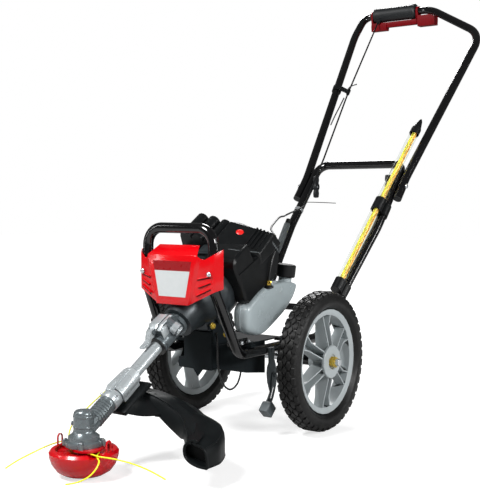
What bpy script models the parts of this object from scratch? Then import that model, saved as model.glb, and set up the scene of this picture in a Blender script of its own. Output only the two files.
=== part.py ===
"""Walk-behind string trimmer, modelled in metres with +Z up.

The machine stands on two wheels and on the bowl of its cutting head. +X is the operator's left,
the front is -Y, and Y is measured from the axle for every piece that hangs on the frame.
"""

import math

import bmesh
import bpy
from mathutils import Matrix, Vector

# General
GAP = 0.0003            # clearance between pieces that touch
AXLE_Y = -0.174855       # the axle against the middle of the whole machine
MID_X = -0.003643         # and the middle plane, since the debris guard reaches further left
CROSS = math.radians(90)

# Wheels
WHEEL_RADIUS = 0.1524
WHEEL_STEPS = 32
TRACK = 0.3574          # between the middle planes of the tyres
TYRE_WIDTH = 0.0517
TREAD_WIDTH = 0.040
RIM_LIP_RADIUS = 0.1135
RIM_WIDTH = 0.0344
RIM_WALL = 0.003
RIM_SEAT_RADIUS = 0.104
SPOKES = 6
SPOKE_FLOOR = -0.0105   # inner face of a spoke's web
SPOKE_WEB = 0.0032
SPOKE_WALL = 0.0028
HUB_RADIUS = 0.022
HUB_INNER = 0.0207      # how far the hub reaches in from the wheel's middle plane
DISC_RADIUS = 0.036
DISC_FACE = 0.0273      # outer face of the hub disc, and its thickness and recess
DISC_WALL = 0.006
DISC_RECESS = 0.003
DISC_RECESS_RADIUS = 0.0155
AXLE_RADIUS = 0.008
AXLE_END = 0.0085       # axle beyond the nut
AXLE_NUT_RADIUS = 0.0120
AXLE_NUT_HEIGHT = 0.0125

# Frame tube
TUBE_RADIUS = 0.011
TUBE_WALL = 0.0015
BEND_STEP = math.radians(23)
HOOP_TOP = 0.445
HOOP_Y = -0.267
HOOP_HALF = 0.0851
HOOP_CORNER = 0.036
KNEE_Z = 0.323          # where the hoop legs turn down and back
RAIL_Z = 0.182
RAIL_FRONT_Y = -0.1965
RAIL_FRONT_HALF = 0.0958
RAIL_BEND = 0.04
BRACE_RADIUS = 0.0085
AXLE_PLATE = 0.005

# Handle: U runs up along the legs from the fold, on a plane through the fold
FOLD_Y = 0.4544
FOLD_Z = 0.5372
HANDLE_TILT = math.radians(47.75)
LOWER_HALF = 0.127      # half the width of the lower handle at the fold
LOWER_BEND_U = -0.14    # where its legs turn in towards the frame
LOWER_SPLAY = 0.095     # growth of that half width for each metre up
UPPER_BEND_U = 0.03     # where the upper legs turn out
NEAR_SPLAY = 0.0905
FAR_SPLAY = 0.1242
SOCKET_U = -0.355       # where the lower handle enters the frame
SPIGOT = 0.030
TAPER = 0.0001          # length of the step where the leg is drawn in
BRACE_U = -0.400
CROSSBAR_U = 0.0795
CROSSBAR_CORNER = 0.030
LEG_END_U = -0.045
BEND_U = 0.589          # the corner of the near upper leg
BAR_U = 0.734
BAR_NEAR_X = 0.0018
UPPER_BEND = 0.098
BAR_BEND = 0.030
FAR_TURN_U = 0.640      # where the far upper leg turns back in towards the bar's end
FAR_TOP_X = 0.2215
PIVOT_BOLT_RADIUS = 0.003
KNOB_DEPTH = 0.0130
GRIP_LEFT = -0.045
GRIP_RIGHT = -0.187
GRIP_RADIUS = 0.0230
BAIL_RING = 0.0145
BAIL_TOP = 0.0245       # top of the bail's bar below the middle of the tube
BAIL_LOW = 0.040
NOSE_X = -0.168          # nose of the grip where the cable enters
NOSE_U = 0.7035
NOSE_N = -0.003
GUIDE_U = 0.395
GUIDE_EYE = (-0.1420, 0.368, 0.010)
CABLE_RADIUS = 0.0023
FUEL_LINE_RADIUS = 0.0022
LEAD_RADIUS = 0.002
LOOM_RADIUS = 0.0085
LOOM_GROOVE = 0.84      # share of that radius between the ribs and at the plain ends
LOOM_BORE = 0.0052
LOOM_TOP_U = -0.138
LOOM_LOW_U = -0.262
LOOM_RIBS = 24

UPPER_HALF = LOWER_HALF + 2 * TUBE_RADIUS + GAP

# Storage tube
STORE_RADIUS = 0.0118
STORE_WALL = 0.0012
CLIP_WALL = 0.0022
STORE_LOW_U = -0.350
STORE_TOP_U = 0.176
STORE_LOW_X = 0.1030
STORE_SPLAY = 0.064
SPARE_SINK = 0.0070     # of the spare lines, which lie on the tube's wall
CAP_RADIUS = 0.0130
STORE_RISE = 0.0235     # in front of the plane of the lower handle

# Drive line: S runs up along the boom from the axis of the head
HEAD_Y = -0.548
BOOM_HEIGHT = 0.0815
BOOM_TILT = math.radians(32)
BOOM_RADIUS = 0.013
BOOM_WALL = 0.0015
BOOM_START = 0.0625
BOOM_END = 0.300
COUPLER_START = 0.243
CLUTCH_START = 0.320
FAN_START = 0.3965
FAN_END = 0.470
FAN_RADIUS = 0.070
BLOCK_END = 0.571
BLOCK_HALF = 0.042
RECOIL_END = 0.606
RECOIL_RADIUS = 0.072
SHAFT_RADIUS = 0.004
LATCH_AT = (-0.006, 0.2496, 0.0315)
LATCH_HALF = 0.006
LATCH_PIN = 0.0018

# Bevel gears
PINION_TEETH = 12
GEAR_TEETH = 16
CONE_DISTANCE = 0.024
FACE_WIDTH = 0.008

# Head
HEAD_RADIUS = 0.064
HEAD_RIM_Z = 0.050
HEAD_DECK_Z = 0.044
HEAD_TOP_Z = 0.0552
HEAD_PLATE_Z = 0.0513
DECK_SLOTS = 12
LINE_RADIUS = 0.00135
EYELET_RADIUS = 0.056
EYELET_ANGLE = math.radians(6)

# Foot pedal
PEDAL_Y = -0.089
PEDAL_Z = 0.127
PEDAL_PIN = 0.0045

# Front guard
GUARD_REACH = 0.023     # from the middle of the hoop to the face
GUARD_SCREW = 0.0028
GUARD_SCREW_X = 0.0866
GUARD_SCREW_Z = 0.3545
GUARD_SCREW_IN = 0.0055

# Debris guard
GUARD_ROWS = 13
GUARD_LOW_Z = 0.040

# Pan
PAN_DECK_Z = 0.200
PAN_SHEET = 0.002
PAN_BOX_Y = -0.209      # front of the narrow box, and where the pan widens
PAN_BOX_HALF = 0.036
PAN_WIDEN_Y = -0.190
PAN_WIDE_Y = -0.150
PAN_SKIRT_Y = -0.080
PAN_BACK_Y = -0.015
PAN_FRONT_Z = 0.147
PAN_REAR_Z = 0.128
MOUNT_HALF = 0.0335
MOUNT_SHEET = 0.003
MOUNT_BOLT = 0.003
MOUNT_BOLTS = {"front": (-0.207, 0.2400), "rear": (-0.161, 0.2180)}

PAINT = {
    "frame black": ("#141517", 0.18, 0.0),
    "pan black": ("#1d1f21", 0.55, 0.0),
    "tyre black": ("#1b1b1c", 0.85, 0.0),
    "wheel grey": ("#8b9092", 0.45, 0.0),
    "yellow zinc": ("#c8a94e", 0.35, 1.0),
    "bright steel": ("#b9bdc0", 0.3, 1.0),
    "cast grey": ("#7e878a", 0.5, 0.6),
    "light cast": ("#b4babd", 0.4, 0.7),
    "cover black": ("#202224", 0.5, 0.0),
    "guard red": ("#e0101c", 0.3, 0.0),
    "head red": ("#d3091c", 0.28, 0.0),
    "bail red": ("#7a0a14", 0.4, 0.0),
    "button red": ("#d81e1e", 0.4, 0.0),
    "tank grey": ("#a9b3b5", 0.35, 0.0),
    "grip black": ("#1f2225", 0.7, 0.0),
    "clear tube": ("#d8d3c0", 0.15, 0.0),
    "line yellow": ("#d6e04a", 0.35, 0.0),
    "line amber": ("#e2a93a", 0.35, 0.0),
    "boom silver": ("#c6cacc", 0.32, 0.8),
    "pad grey": ("#5d6466", 0.7, 0.0),
}

PARTS = None
TOOLS = None
LOOKS = {}


# Scene and materials

def linear(value):
    """One sRGB channel as linear light."""
    return value / 12.92 if value <= 0.04045 else ((value + 0.055) / 1.055) ** 2.4


def look(name):
    """The material of this name, made once."""
    if name not in LOOKS:
        code, roughness, metallic = PAINT[name]
        channels = [linear(int(code[k:k + 2], 16) / 255) for k in (1, 3, 5)]
        material = bpy.data.materials.new(name)
        material.use_nodes = True
        shader = material.node_tree.nodes["Principled BSDF"]
        shader.inputs["Base Color"].default_value = (*channels, 1.0)
        shader.inputs["Roughness"].default_value = roughness
        shader.inputs["Metallic"].default_value = metallic
        material.diffuse_color = (*channels, 1.0)
        LOOKS[name] = material
    return LOOKS[name]


def start_scene():
    """Empty the scene and open the two collections."""
    global PARTS, TOOLS
    for old in list(bpy.data.objects):
        bpy.data.objects.remove(old, do_unlink=True)
    LOOKS.clear()
    PARTS = bpy.data.collections.new("string trimmer")
    TOOLS = bpy.data.collections.new("cutters")
    bpy.context.scene.collection.children.link(PARTS)
    bpy.context.scene.collection.children.link(TOOLS)


def empty(name, location, rotation=(0, 0, 0), parent=None):
    """An empty that carries pieces."""
    carrier = bpy.data.objects.new(name, None)
    carrier.empty_display_size = 0.05
    PARTS.objects.link(carrier)
    carrier.parent = parent
    carrier.location = location
    carrier.rotation_euler = rotation
    return carrier


def place(obj, parent, location=None, rotation=None):
    """Hang an object on its carrier."""
    obj.parent = parent
    if location is not None:
        obj.location = location
    if rotation is not None:
        obj.rotation_euler = rotation
    return obj


def node(obj, name, paint, parent, location=None, rotation=None):
    """Name a finished piece, paint it and put it in place."""
    obj.name = name
    obj.data.name = name
    obj.data.materials.clear()
    obj.data.materials.append(look(paint))
    if obj.type == "MESH":
        obj.data.shade_smooth()
        obj.data.set_sharp_from_angle(angle=math.radians(35))
    return place(obj, parent, location, rotation)


def as_tool(obj):
    """Move an object from the parts to the cutters."""
    PARTS.objects.unlink(obj)
    TOOLS.objects.link(obj)
    obj.hide_render = True
    obj.display_type = "WIRE"


def combine(target, tools, operation, solver="EXACT"):
    """Join shapes to a piece, or cut them out of it."""
    for tool in tools:
        if tool.parent is None:
            tool.parent = target.parent
        as_tool(tool)
        step = target.modifiers.new(f"{operation.lower()} {tool.name}", "BOOLEAN")
        step.operation = operation
        step.solver = solver
        step.object = tool
    return target


def join(target, *tools):
    """Weld shapes to a piece."""
    return combine(target, tools, "UNION")


def cut(target, *tools):
    """Cut shapes out of a piece."""
    return combine(target, tools, "DIFFERENCE")


def bevel(obj, width, segments=2, angle=30):
    """Round the edges of a piece."""
    step = obj.modifiers.new("rounded edges", "BEVEL")
    step.width = width
    step.segments = segments
    step.limit_method = "ANGLE"
    step.angle_limit = math.radians(angle)
    return obj


# Shapes

def from_bmesh(shape, label):
    """An object from a finished bmesh."""
    mesh = bpy.data.meshes.new(label)
    shape.to_mesh(mesh)
    shape.free()
    obj = bpy.data.objects.new(label, mesh)
    PARTS.objects.link(obj)
    return obj


def block(label, low, high):
    """A box between two corners."""
    shape = bmesh.new()
    bmesh.ops.create_cube(shape, size=1.0)
    size = [b - a for a, b in zip(low, high)]
    middle = [(a + b) / 2 for a, b in zip(low, high)]
    bmesh.ops.scale(shape, vec=size, verts=shape.verts)
    bmesh.ops.translate(shape, vec=middle, verts=shape.verts)
    return from_bmesh(shape, label)


def rod(label, radius, start, end, sides=24, end_radius=None):
    """A cylinder or cone between two points."""
    start = Vector(start)
    end = Vector(end)
    run = end - start
    shape = bmesh.new()
    bmesh.ops.create_cone(shape, cap_ends=True, cap_tris=False, segments=sides, radius1=radius,
                          radius2=radius if end_radius is None else end_radius, depth=run.length)
    turn = run.to_track_quat("Z", "Y").to_matrix().to_4x4()
    bmesh.ops.transform(shape, matrix=Matrix.Translation((start + end) / 2) @ turn,
                        verts=shape.verts)
    return from_bmesh(shape, label)


def turned(label, profile, steps=32, ring=False):
    """A turned shape about Z from (radius, height) pairs, outer side from top to bottom."""
    mesh = bpy.data.meshes.new(label)
    points = [(radius, 0.0, height) for radius, height in profile]
    edges = [(k, k + 1) for k in range(len(points) - 1)]
    if ring:
        edges.append((len(points) - 1, 0))
    mesh.from_pydata(points, edges, [])
    obj = bpy.data.objects.new(label, mesh)
    PARTS.objects.link(obj)
    spin = obj.modifiers.new("turning", "SCREW")
    spin.axis = "Z"
    spin.steps = steps
    spin.render_steps = steps
    spin.use_merge_vertices = True
    spin.merge_threshold = 0.00005
    return obj


def outline(label, loops, thickness):
    """A flat shape from one or more closed outlines, as a filled 2D curve."""
    curve = bpy.data.curves.new(label, "CURVE")
    curve.dimensions = "2D"
    curve.fill_mode = "BOTH"
    curve.extrude = thickness / 2
    for loop in loops:
        spline = curve.splines.new("POLY")
        spline.points.add(len(loop) - 1)
        for point, (x, y) in zip(spline.points, loop):
            point.co = (x, y, 0, 1)
        spline.use_cyclic_u = True
    obj = bpy.data.objects.new(label, curve)
    PARTS.objects.link(obj)
    return obj


def as_mesh(curve):
    """A closed mesh from a curve object, which is removed."""
    bpy.context.view_layer.update()
    graph = bpy.context.evaluated_depsgraph_get()
    mesh = bpy.data.meshes.new_from_object(curve.evaluated_get(graph))
    shape = bmesh.new()
    shape.from_mesh(mesh)
    bmesh.ops.remove_doubles(shape, verts=shape.verts, dist=0.00001)
    shape.to_mesh(mesh)
    shape.free()
    obj = bpy.data.objects.new(curve.name, mesh)
    PARTS.objects.link(obj)
    obj.matrix_world = curve.matrix_world
    bpy.data.objects.remove(curve, do_unlink=True)
    return obj


def plate(label, loops, low, high):
    """A plate across X: outlines in Y and Z, from x = low to x = high."""
    obj = as_mesh(outline(label, loops, high - low))
    turn = Matrix.Rotation(CROSS, 4, "Z") @ Matrix.Rotation(CROSS, 4, "X")
    obj.data.transform(Matrix.Translation(((low + high) / 2, 0, 0)) @ turn)
    return obj


def fascia(label, loops, low, high):
    """A plate across Y: outlines in X and Z, from y = low to y = high."""
    obj = as_mesh(outline(label, loops, high - low))
    obj.data.transform(Matrix.Translation((0, (low + high) / 2, 0)) @ Matrix.Rotation(CROSS, 4, "X"))
    return obj


def pipe(label, points, radius, wall=0.0, resolution=2, radii=None):
    """A round bar along points, or a tube where a wall is given."""
    curve = bpy.data.curves.new(label, "CURVE")
    curve.dimensions = "3D"
    curve.bevel_depth = radius
    curve.bevel_resolution = resolution
    curve.use_fill_caps = wall == 0.0
    spline = curve.splines.new("POLY")
    spline.points.add(len(points) - 1)
    for k, (point, place_at) in enumerate(zip(spline.points, points)):
        point.co = (*place_at, 1)
        point.radius = 1.0 if radii is None else radii[k]
    obj = bpy.data.objects.new(label, curve)
    PARTS.objects.link(obj)
    if wall:
        shell = obj.modifiers.new("wall", "SOLIDIFY")
        shell.thickness = wall
        shell.offset = -1
    return obj


def bent(corners, radii, turn=math.radians(14)):
    """A path of straight runs with an arc at each inner corner."""
    corners = [Vector(corner) for corner in corners]
    path = [corners[0]]
    for k, radius in enumerate(radii, start=1):
        back = (corners[k - 1] - corners[k]).normalized()
        ahead = (corners[k + 1] - corners[k]).normalized()
        half = back.angle(ahead) / 2
        sweep = math.pi - 2 * half
        middle = corners[k] + (back + ahead).normalized() * (radius / math.sin(half))
        first = corners[k] + back * (radius / math.tan(half)) - middle
        axis = back.cross(ahead).normalized()
        count = max(2, math.ceil(sweep / turn))
        for j in range(count + 1):
            path.append(middle + Matrix.Rotation(-sweep * j / count, 3, axis) @ first)
    path.append(corners[-1])
    return path


def smooth(points, spacing):
    """Points along a smooth curve through the given ones."""
    knots = [Vector(point) for point in points]
    knots = [2 * knots[0] - knots[1], *knots, 2 * knots[-1] - knots[-2]]
    path = []
    for a, b, c, d in zip(knots, knots[1:], knots[2:], knots[3:]):
        count = max(1, round((c - b).length / spacing))
        for j in range(count):
            t = j / count
            path.append(0.5 * (2 * b + (c - a) * t + (2 * a - 5 * b + 4 * c - d) * t * t
                               + (3 * b - a - 3 * c + d) * t ** 3))
    return [*path, knots[-2]]


def circle(radius, count, center=(0.0, 0.0), start=0.0, end=2 * math.pi):
    """Points on a circle, or on an arc where an end is given."""
    full = abs(end - start - 2 * math.pi) < 1e-9
    span = count if full else count - 1
    return [(center[0] + radius * math.cos(start + (end - start) * k / span),
             center[1] + radius * math.sin(start + (end - start) * k / span))
            for k in range(count)]


# Frame of the handle: points as x, u along the legs, n in front of their plane

def on_handle(x, u, n=0.0):
    """A point of the handle in the frame of the machine."""
    c = math.cos(HANDLE_TILT)
    s = math.sin(HANDLE_TILT)
    return Vector((x, FOLD_Y + u * c - n * s, FOLD_Z + u * s + n * c))


def lower_half(u):
    """Half the width between the lower legs."""
    return LOWER_HALF + LOWER_SPLAY * min(0.0, u - LOWER_BEND_U)


def upper_near(u):
    """Distance of the near upper leg from the middle plane."""
    return UPPER_HALF + NEAR_SPLAY * max(0.0, u - UPPER_BEND_U)


def upper_far(u):
    """Distance of the far upper leg from the middle plane."""
    return UPPER_HALF + FAR_SPLAY * max(0.0, u - UPPER_BEND_U)


def rail_corner():
    """Where the rail meets the line of the lower leg."""
    u = (RAIL_Z - FOLD_Z) / math.sin(HANDLE_TILT)
    return on_handle(lower_half(u), u)


# Wheels

def make_tyre(name, side, carrier):
    """The rubber tyre, seated between the rim's lips."""
    half = TYRE_WIDTH / 2
    lip = RIM_WIDTH / 2
    crown = [
        (WHEEL_RADIUS, TREAD_WIDTH * 0.25),
        (WHEEL_RADIUS - 0.0024, TREAD_WIDTH / 2),
        (WHEEL_RADIUS - 0.0110, half - 0.0004),
        (RIM_LIP_RADIUS + 0.0090, half - 0.0020),
        (RIM_LIP_RADIUS + GAP, lip - RIM_WALL - GAP),
        (RIM_SEAT_RADIUS + GAP, lip - RIM_WALL - GAP),
    ]
    other = [(radius, -height) for radius, height in reversed(crown)]
    tyre = turned(name, [*crown, *other][::-1], steps=WHEEL_STEPS, ring=True)
    return node(tyre, name, "tyre black", carrier, (side * TRACK / 2, 0, 0), (0, side * CROSS, 0))


def channel_spokes(root, tip):
    """Six channels open to the outer side, flared at the rim, their walls falling from the disc."""
    stations = [
        # radius, half width and height of the walls
        (root, 0.0088, DISC_FACE - DISC_WALL + 0.0015),
        (DISC_RADIUS + 0.003, 0.0096, DISC_FACE - DISC_WALL + 0.0006),
        (tip - 0.022, 0.0108, 0.0130),
        (tip, 0.0175, 0.0126),
    ]
    shape = bmesh.new()
    for k in range(SPOKES):
        turn = Matrix.Rotation(2 * math.pi * k / SPOKES, 3, "Z")
        rings = []
        for radius, half, top in stations:
            low = SPOKE_FLOOR
            floor = SPOKE_FLOOR + SPOKE_WEB
            inside = half - SPOKE_WALL
            section = [(-half, low), (half, low), (half, top), (inside, top),
                       (inside, floor), (-inside, floor), (-inside, top), (-half, top)]
            rings.append([shape.verts.new(turn @ Vector((radius, y, z))) for y, z in section])
        for a, b in zip(rings, rings[1:]):
            for j in range(len(a)):
                after = (j + 1) % len(a)
                shape.faces.new((a[j], b[j], b[after], a[after]))
        shape.faces.new(rings[0])
        shape.faces.new(rings[-1][::-1])
    bmesh.ops.recalc_face_normals(shape, faces=shape.faces)
    return from_bmesh(shape, "spokes")


def make_rim(name, side, carrier):
    """The six spoke wheel: channel rim, channel spokes, hub barrel and outer disc."""
    lip = RIM_WIDTH / 2
    well = RIM_SEAT_RADIUS - RIM_WALL
    rim = turned(name, [
        (RIM_LIP_RADIUS, lip), (RIM_LIP_RADIUS, lip - RIM_WALL),
        (RIM_SEAT_RADIUS, lip - RIM_WALL), (RIM_SEAT_RADIUS, RIM_WALL - lip),
        (RIM_LIP_RADIUS, RIM_WALL - lip), (RIM_LIP_RADIUS, -lip), (well, -lip), (well, lip - 0.004),
        (RIM_LIP_RADIUS - 0.003, lip),
    ], steps=WHEEL_STEPS, ring=True)
    hub = turned("hub", [
        (0, DISC_FACE - DISC_RECESS), (DISC_RECESS_RADIUS, DISC_FACE - DISC_RECESS),
        (DISC_RECESS_RADIUS + 0.001, DISC_FACE), (DISC_RADIUS - 0.0015, DISC_FACE),
        (DISC_RADIUS, DISC_FACE - 0.0015), (DISC_RADIUS, DISC_FACE - DISC_WALL),
        (HUB_RADIUS, DISC_FACE - DISC_WALL), (HUB_RADIUS, -HUB_INNER), (0, -HUB_INNER),
    ], steps=18)
    spokes = channel_spokes(HUB_RADIUS - 0.003, well + RIM_WALL * 0.25)
    bore = rod("axle bore", AXLE_RADIUS + GAP, (0, 0, -0.04), (0, 0, 0.04), 16)
    for tool in (rim, hub, spokes, bore):
        place(tool, carrier, (side * TRACK / 2, 0, 0), (0, side * CROSS, 0))
    join(rim, spokes, hub)
    cut(rim, bore)
    return node(rim, name, "wheel grey", carrier)


def nut_seat():
    """Distance of the seat of the axle nut from the middle plane."""
    return TRACK / 2 + DISC_FACE - DISC_RECESS + GAP


def make_wheels(machine):
    """Axle, wheels and their nuts."""
    hub = empty("axle line", (0, 0, WHEEL_RADIUS), parent=machine)
    seat = nut_seat()
    axle_half = seat + AXLE_NUT_HEIGHT + AXLE_END
    axle = rod("axle", AXLE_RADIUS, (-axle_half, 0, 0), (axle_half, 0, 0), 16)
    node(bevel(axle, 0.001, 1), "axle", "bright steel", hub)
    for word, side in (("left", 1), ("right", -1)):
        make_tyre(f"tyre_{word}", side, hub)
        make_rim(f"rim_{word}", side, hub)
        nut = rod("nut", AXLE_NUT_RADIUS, (side * seat, 0, 0),
                  (side * (seat + AXLE_NUT_HEIGHT), 0, 0), 6)
        hole = rod("nut bore", AXLE_RADIUS + GAP, (side * (seat - 0.01), 0, 0),
                   (side * (seat + 0.02), 0, 0), 16)
        place(nut, hub)
        cut(nut, hole)
        node(nut, f"axle_nut_{word}", "yellow zinc", hub)


# Frame

def rail_half(y):
    """Distance of the rails from the middle plane at this Y."""
    corner = rail_corner()
    share = (y - RAIL_FRONT_Y) / (corner.y - RAIL_FRONT_Y)
    return RAIL_FRONT_HALF + (corner.x - RAIL_FRONT_HALF) * share


def make_frame_tube(machine):
    """The hoop and both rails in one bent tube, with axle plates and a rear cross tube."""
    corner = rail_corner()
    end = on_handle(lower_half(SOCKET_U), SOCKET_U)
    near = [
        end, corner,
        (RAIL_FRONT_HALF, RAIL_FRONT_Y, RAIL_Z),
        (HOOP_HALF + 0.0012, HOOP_Y - 0.001, KNEE_Z),
        (HOOP_HALF, HOOP_Y, HOOP_TOP),
    ]
    far = [(-x, y, z) for x, y, z in reversed([tuple(point) for point in near])]
    radii = [0.06, RAIL_BEND, 0.06, HOOP_CORNER, HOOP_CORNER, 0.06, RAIL_BEND, 0.06]
    tube = as_mesh(pipe("frame_tube", bent([*near, *far], radii, BEND_STEP), TUBE_RADIUS, TUBE_WALL))
    brace_at = on_handle(lower_half(BRACE_U), BRACE_U)
    tools = [rod("rear cross tube", BRACE_RADIUS, brace_at, (-brace_at.x, brace_at.y, brace_at.z), 14)]
    foot = AXLE_RADIUS + GAP + 0.0065
    top = RAIL_Z - TUBE_RADIUS + TUBE_WALL * 0.6
    shape = [(0.026, top), (-0.026, top),
             *circle(foot, 7, (0, WHEEL_RADIUS), math.pi, 2 * math.pi)]
    plate_x = rail_half(0.0)
    sleeve_end = TRACK / 2 - HUB_INNER - GAP
    for side in (1, -1):
        low = side * plate_x - AXLE_PLATE / 2
        tools.append(plate("axle plate", [shape], low, low + AXLE_PLATE))
        tools.append(rod("axle sleeve", foot - 0.002, (side * plate_x, 0, WHEEL_RADIUS),
                         (side * sleeve_end, 0, WHEEL_RADIUS), 18))
    bore = rod("axle bore", AXLE_RADIUS + GAP, (-0.2, 0, WHEEL_RADIUS), (0.2, 0, WHEEL_RADIUS), 16)
    holes = [place(bore, machine)]
    for side in (1, -1):
        boss = Vector((side * GUARD_SCREW_X, HOOP_Y, GUARD_SCREW_Z))
        tools.append(rod("guard boss", 0.0060, boss + Vector((0, -0.0040, 0)),
                         boss - Vector((0, 0.0117, 0)), 12))
        holes.append(place(rod("boss hole", GUARD_SCREW + GAP, boss - Vector((0, 0.0065, 0)),
                               boss - Vector((0, 0.02, 0)), 12), machine))
    place(tube, machine)
    join(tube, *tools)
    cut(tube, *holes)
    return node(tube, "frame_tube", "frame black", machine)


def mirrored(point):
    """The same point on the far side."""
    return Vector((-point.x, point.y, point.z))


def lower_leg(u, n=0.0):
    """A point on the near lower leg."""
    return on_handle(lower_half(u), u, n)


def make_lower_handle(machine):
    """The inverted U that carries the fold; its ends are drawn in to enter the rails."""
    bore_flat = (TUBE_RADIUS - TUBE_WALL) * math.cos(math.pi / 8)
    reduced = (bore_flat - GAP) / TUBE_RADIUS
    step = SOCKET_U + 2 * GAP
    spigot = [lower_leg(SOCKET_U - SPIGOT), lower_leg(step - TAPER)]
    legs = [lower_leg(step), lower_leg(LOWER_BEND_U), lower_leg(CROSSBAR_U)]
    arc = bent([*legs, *[mirrored(point) for point in reversed(legs)]],
               [0.3, CROSSBAR_CORNER, CROSSBAR_CORNER, 0.3], BEND_STEP)
    path = [*spigot, *arc, *[mirrored(point) for point in reversed(spigot)]]
    radii = [reduced] * 2 + [1.0] * len(arc) + [reduced] * 2
    handle = as_mesh(pipe("lower_handle", path, TUBE_RADIUS, TUBE_WALL, radii=radii))
    place(handle, machine)
    for side in (1, -1):
        hole = rod("bolt hole", PIVOT_BOLT_RADIUS + GAP,
                   (side * (LOWER_HALF - 0.02), FOLD_Y, FOLD_Z),
                   (side * (LOWER_HALF + 0.02), FOLD_Y, FOLD_Z), 10)
        cut(handle, place(hole, machine))
    return node(handle, "lower_handle", "frame black", machine)


def make_pan(machine):
    """The pressed pan: a deck with folded skirts, a narrow front box and four tabs on the rails."""
    skirt = min(rail_half(PAN_WIDE_Y), rail_half(PAN_BACK_Y)) - TUBE_RADIUS - GAP
    path = [(skirt, PAN_SKIRT_Y, PAN_REAR_Z), (skirt, PAN_WIDE_Y, PAN_REAR_Z + 0.010),
            (PAN_BOX_HALF, PAN_WIDEN_Y, PAN_FRONT_Z), (PAN_BOX_HALF, PAN_BOX_Y, PAN_FRONT_Z)]
    path += [(-x, y, z) for x, y, z in reversed(path)]
    shape = bmesh.new()
    top = [shape.verts.new((x, y, PAN_DECK_Z)) for x, y, z in path]
    low = [shape.verts.new((x, y, z)) for x, y, z in path]
    for k in range(len(path) - 1):
        shape.faces.new((low[k], low[k + 1], top[k + 1], top[k]))
    rear = [shape.verts.new((side * skirt, PAN_BACK_Y, PAN_DECK_Z)) for side in (-1, 1)]
    shape.faces.new([*top, *rear])
    bmesh.ops.recalc_face_normals(shape, faces=shape.faces)
    deck = max(shape.faces, key=lambda face: face.calc_area())
    deck.normal_update()
    if deck.normal.z < 0:
        bmesh.ops.reverse_faces(shape, faces=shape.faces)
    pan = from_bmesh(shape, "belly_pan")
    sheet = pan.modifiers.new("sheet", "SOLIDIFY")
    sheet.thickness = PAN_SHEET
    sheet.offset = -1
    sheet.use_even_offset = True
    half = PAN_BOX_HALF + 0.0005
    front = fascia("front plate", [[
        (-half, 0.2262), (half, 0.2262), (half, PAN_FRONT_Z - 0.0007), (0.012, PAN_FRONT_Z - 0.001),
        (0.0, 0.131), (-0.012, PAN_FRONT_Z - 0.001), (-0.050, PAN_FRONT_Z), (-0.053, 0.158),
        (-0.050, 0.169), (-half, 0.171),
    ]], PAN_BOX_Y - 0.001, PAN_BOX_Y + PAN_SHEET + 0.0005)
    place(pan, machine)
    tools = [place(front, machine)]
    rest = RAIL_Z + TUBE_RADIUS + GAP
    for y in (PAN_WIDE_Y, PAN_BACK_Y - 0.012):
        reach = rail_half(y) + 0.006
        for side in (1, -1):
            ends = sorted((side * (skirt - 0.006), side * reach))
            tab = block("tab", (ends[0], y - 0.008, rest), (ends[1], y + 0.008, PAN_DECK_Z - 0.0010))
            head = rod("tab bolt", 0.0055, (side * rail_half(y), y, PAN_DECK_Z - 0.003),
                       (side * rail_half(y), y, PAN_DECK_Z + 0.0035), 6)
            tools += [place(tab, machine), place(head, machine)]
    join(pan, *tools)
    return node(pan, "belly_pan", "pan black", machine)


def make_front_guard(machine):
    """The folded red guard in front of the engine, screwed to the hoop legs."""
    wing = HOOP_HALF + 0.0209
    knee = HOOP_HALF + 0.0094
    front = HOOP_Y - GUARD_REACH
    back = HOOP_Y + 0.005
    middle = HOOP_Y - 0.013
    rows = [
        # x, y of the fold lines from the centre to the wing, with the top and bottom edge
        (0.0, front, 0.391, 0.290),
        (0.040, front, 0.391, 0.290),
        (0.060, front, 0.391, 0.3015),
        (0.076, front + (middle - front) * 0.45, 0.384, 0.309),
        (knee, middle, 0.394, 0.318),
        (wing, back, 0.404, 0.3245),
    ]
    shape = bmesh.new()
    upper = []
    lower = []
    for side in (-1, 1):
        order = rows[::-1] if side < 0 else rows[1:]
        for x, y, top, bottom in order:
            upper.append(shape.verts.new((side * x, y, top)))
            lower.append(shape.verts.new((side * x, y, bottom)))
    for k in range(len(upper) - 1):
        shape.faces.new((lower[k], lower[k + 1], upper[k + 1], upper[k]))
    half = len(rows) - 1
    crest = [upper[half + k] for k in (-2, -1, 0, 1, 2)]
    brow = [shape.verts.new((x, HOOP_Y - 0.001, 0.411)) for x in (-0.047, -0.030, 0, 0.030, 0.047)]
    for k in range(4):
        shape.faces.new((crest[k], crest[k + 1], brow[k + 1], brow[k]))
    guard = from_bmesh(shape, "front_guard")
    sheet = guard.modifiers.new("sheet", "SOLIDIFY")
    sheet.thickness = 0.0015
    sheet.offset = -1
    sheet.use_even_offset = True
    place(guard, machine)
    screw_y = front + GUARD_SCREW_IN
    for word, side in (("left", 1), ("right", -1)):
        x = side * GUARD_SCREW_X
        z = GUARD_SCREW_Z
        hole = rod("screw hole", GUARD_SCREW + GAP, (x, screw_y - 0.02, z), (x, HOOP_Y - 0.0115, z), 12)
        cut(guard, place(hole, machine))
        screw = turned(f"guard_screw_{word}", [
            (0, 0.0035), (0.003, 0.0032), (0.0052, 0.0016), (0.0055, 0),
            (GUARD_SCREW, 0), (GUARD_SCREW, -0.0105), (0, -0.0105),
        ], steps=12)
        node(screw, f"guard_screw_{word}", "bright steel", machine,
             (x, screw_y, z), (CROSS, 0, 0))
    return node(guard, "front_guard", "guard red", machine)


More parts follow.
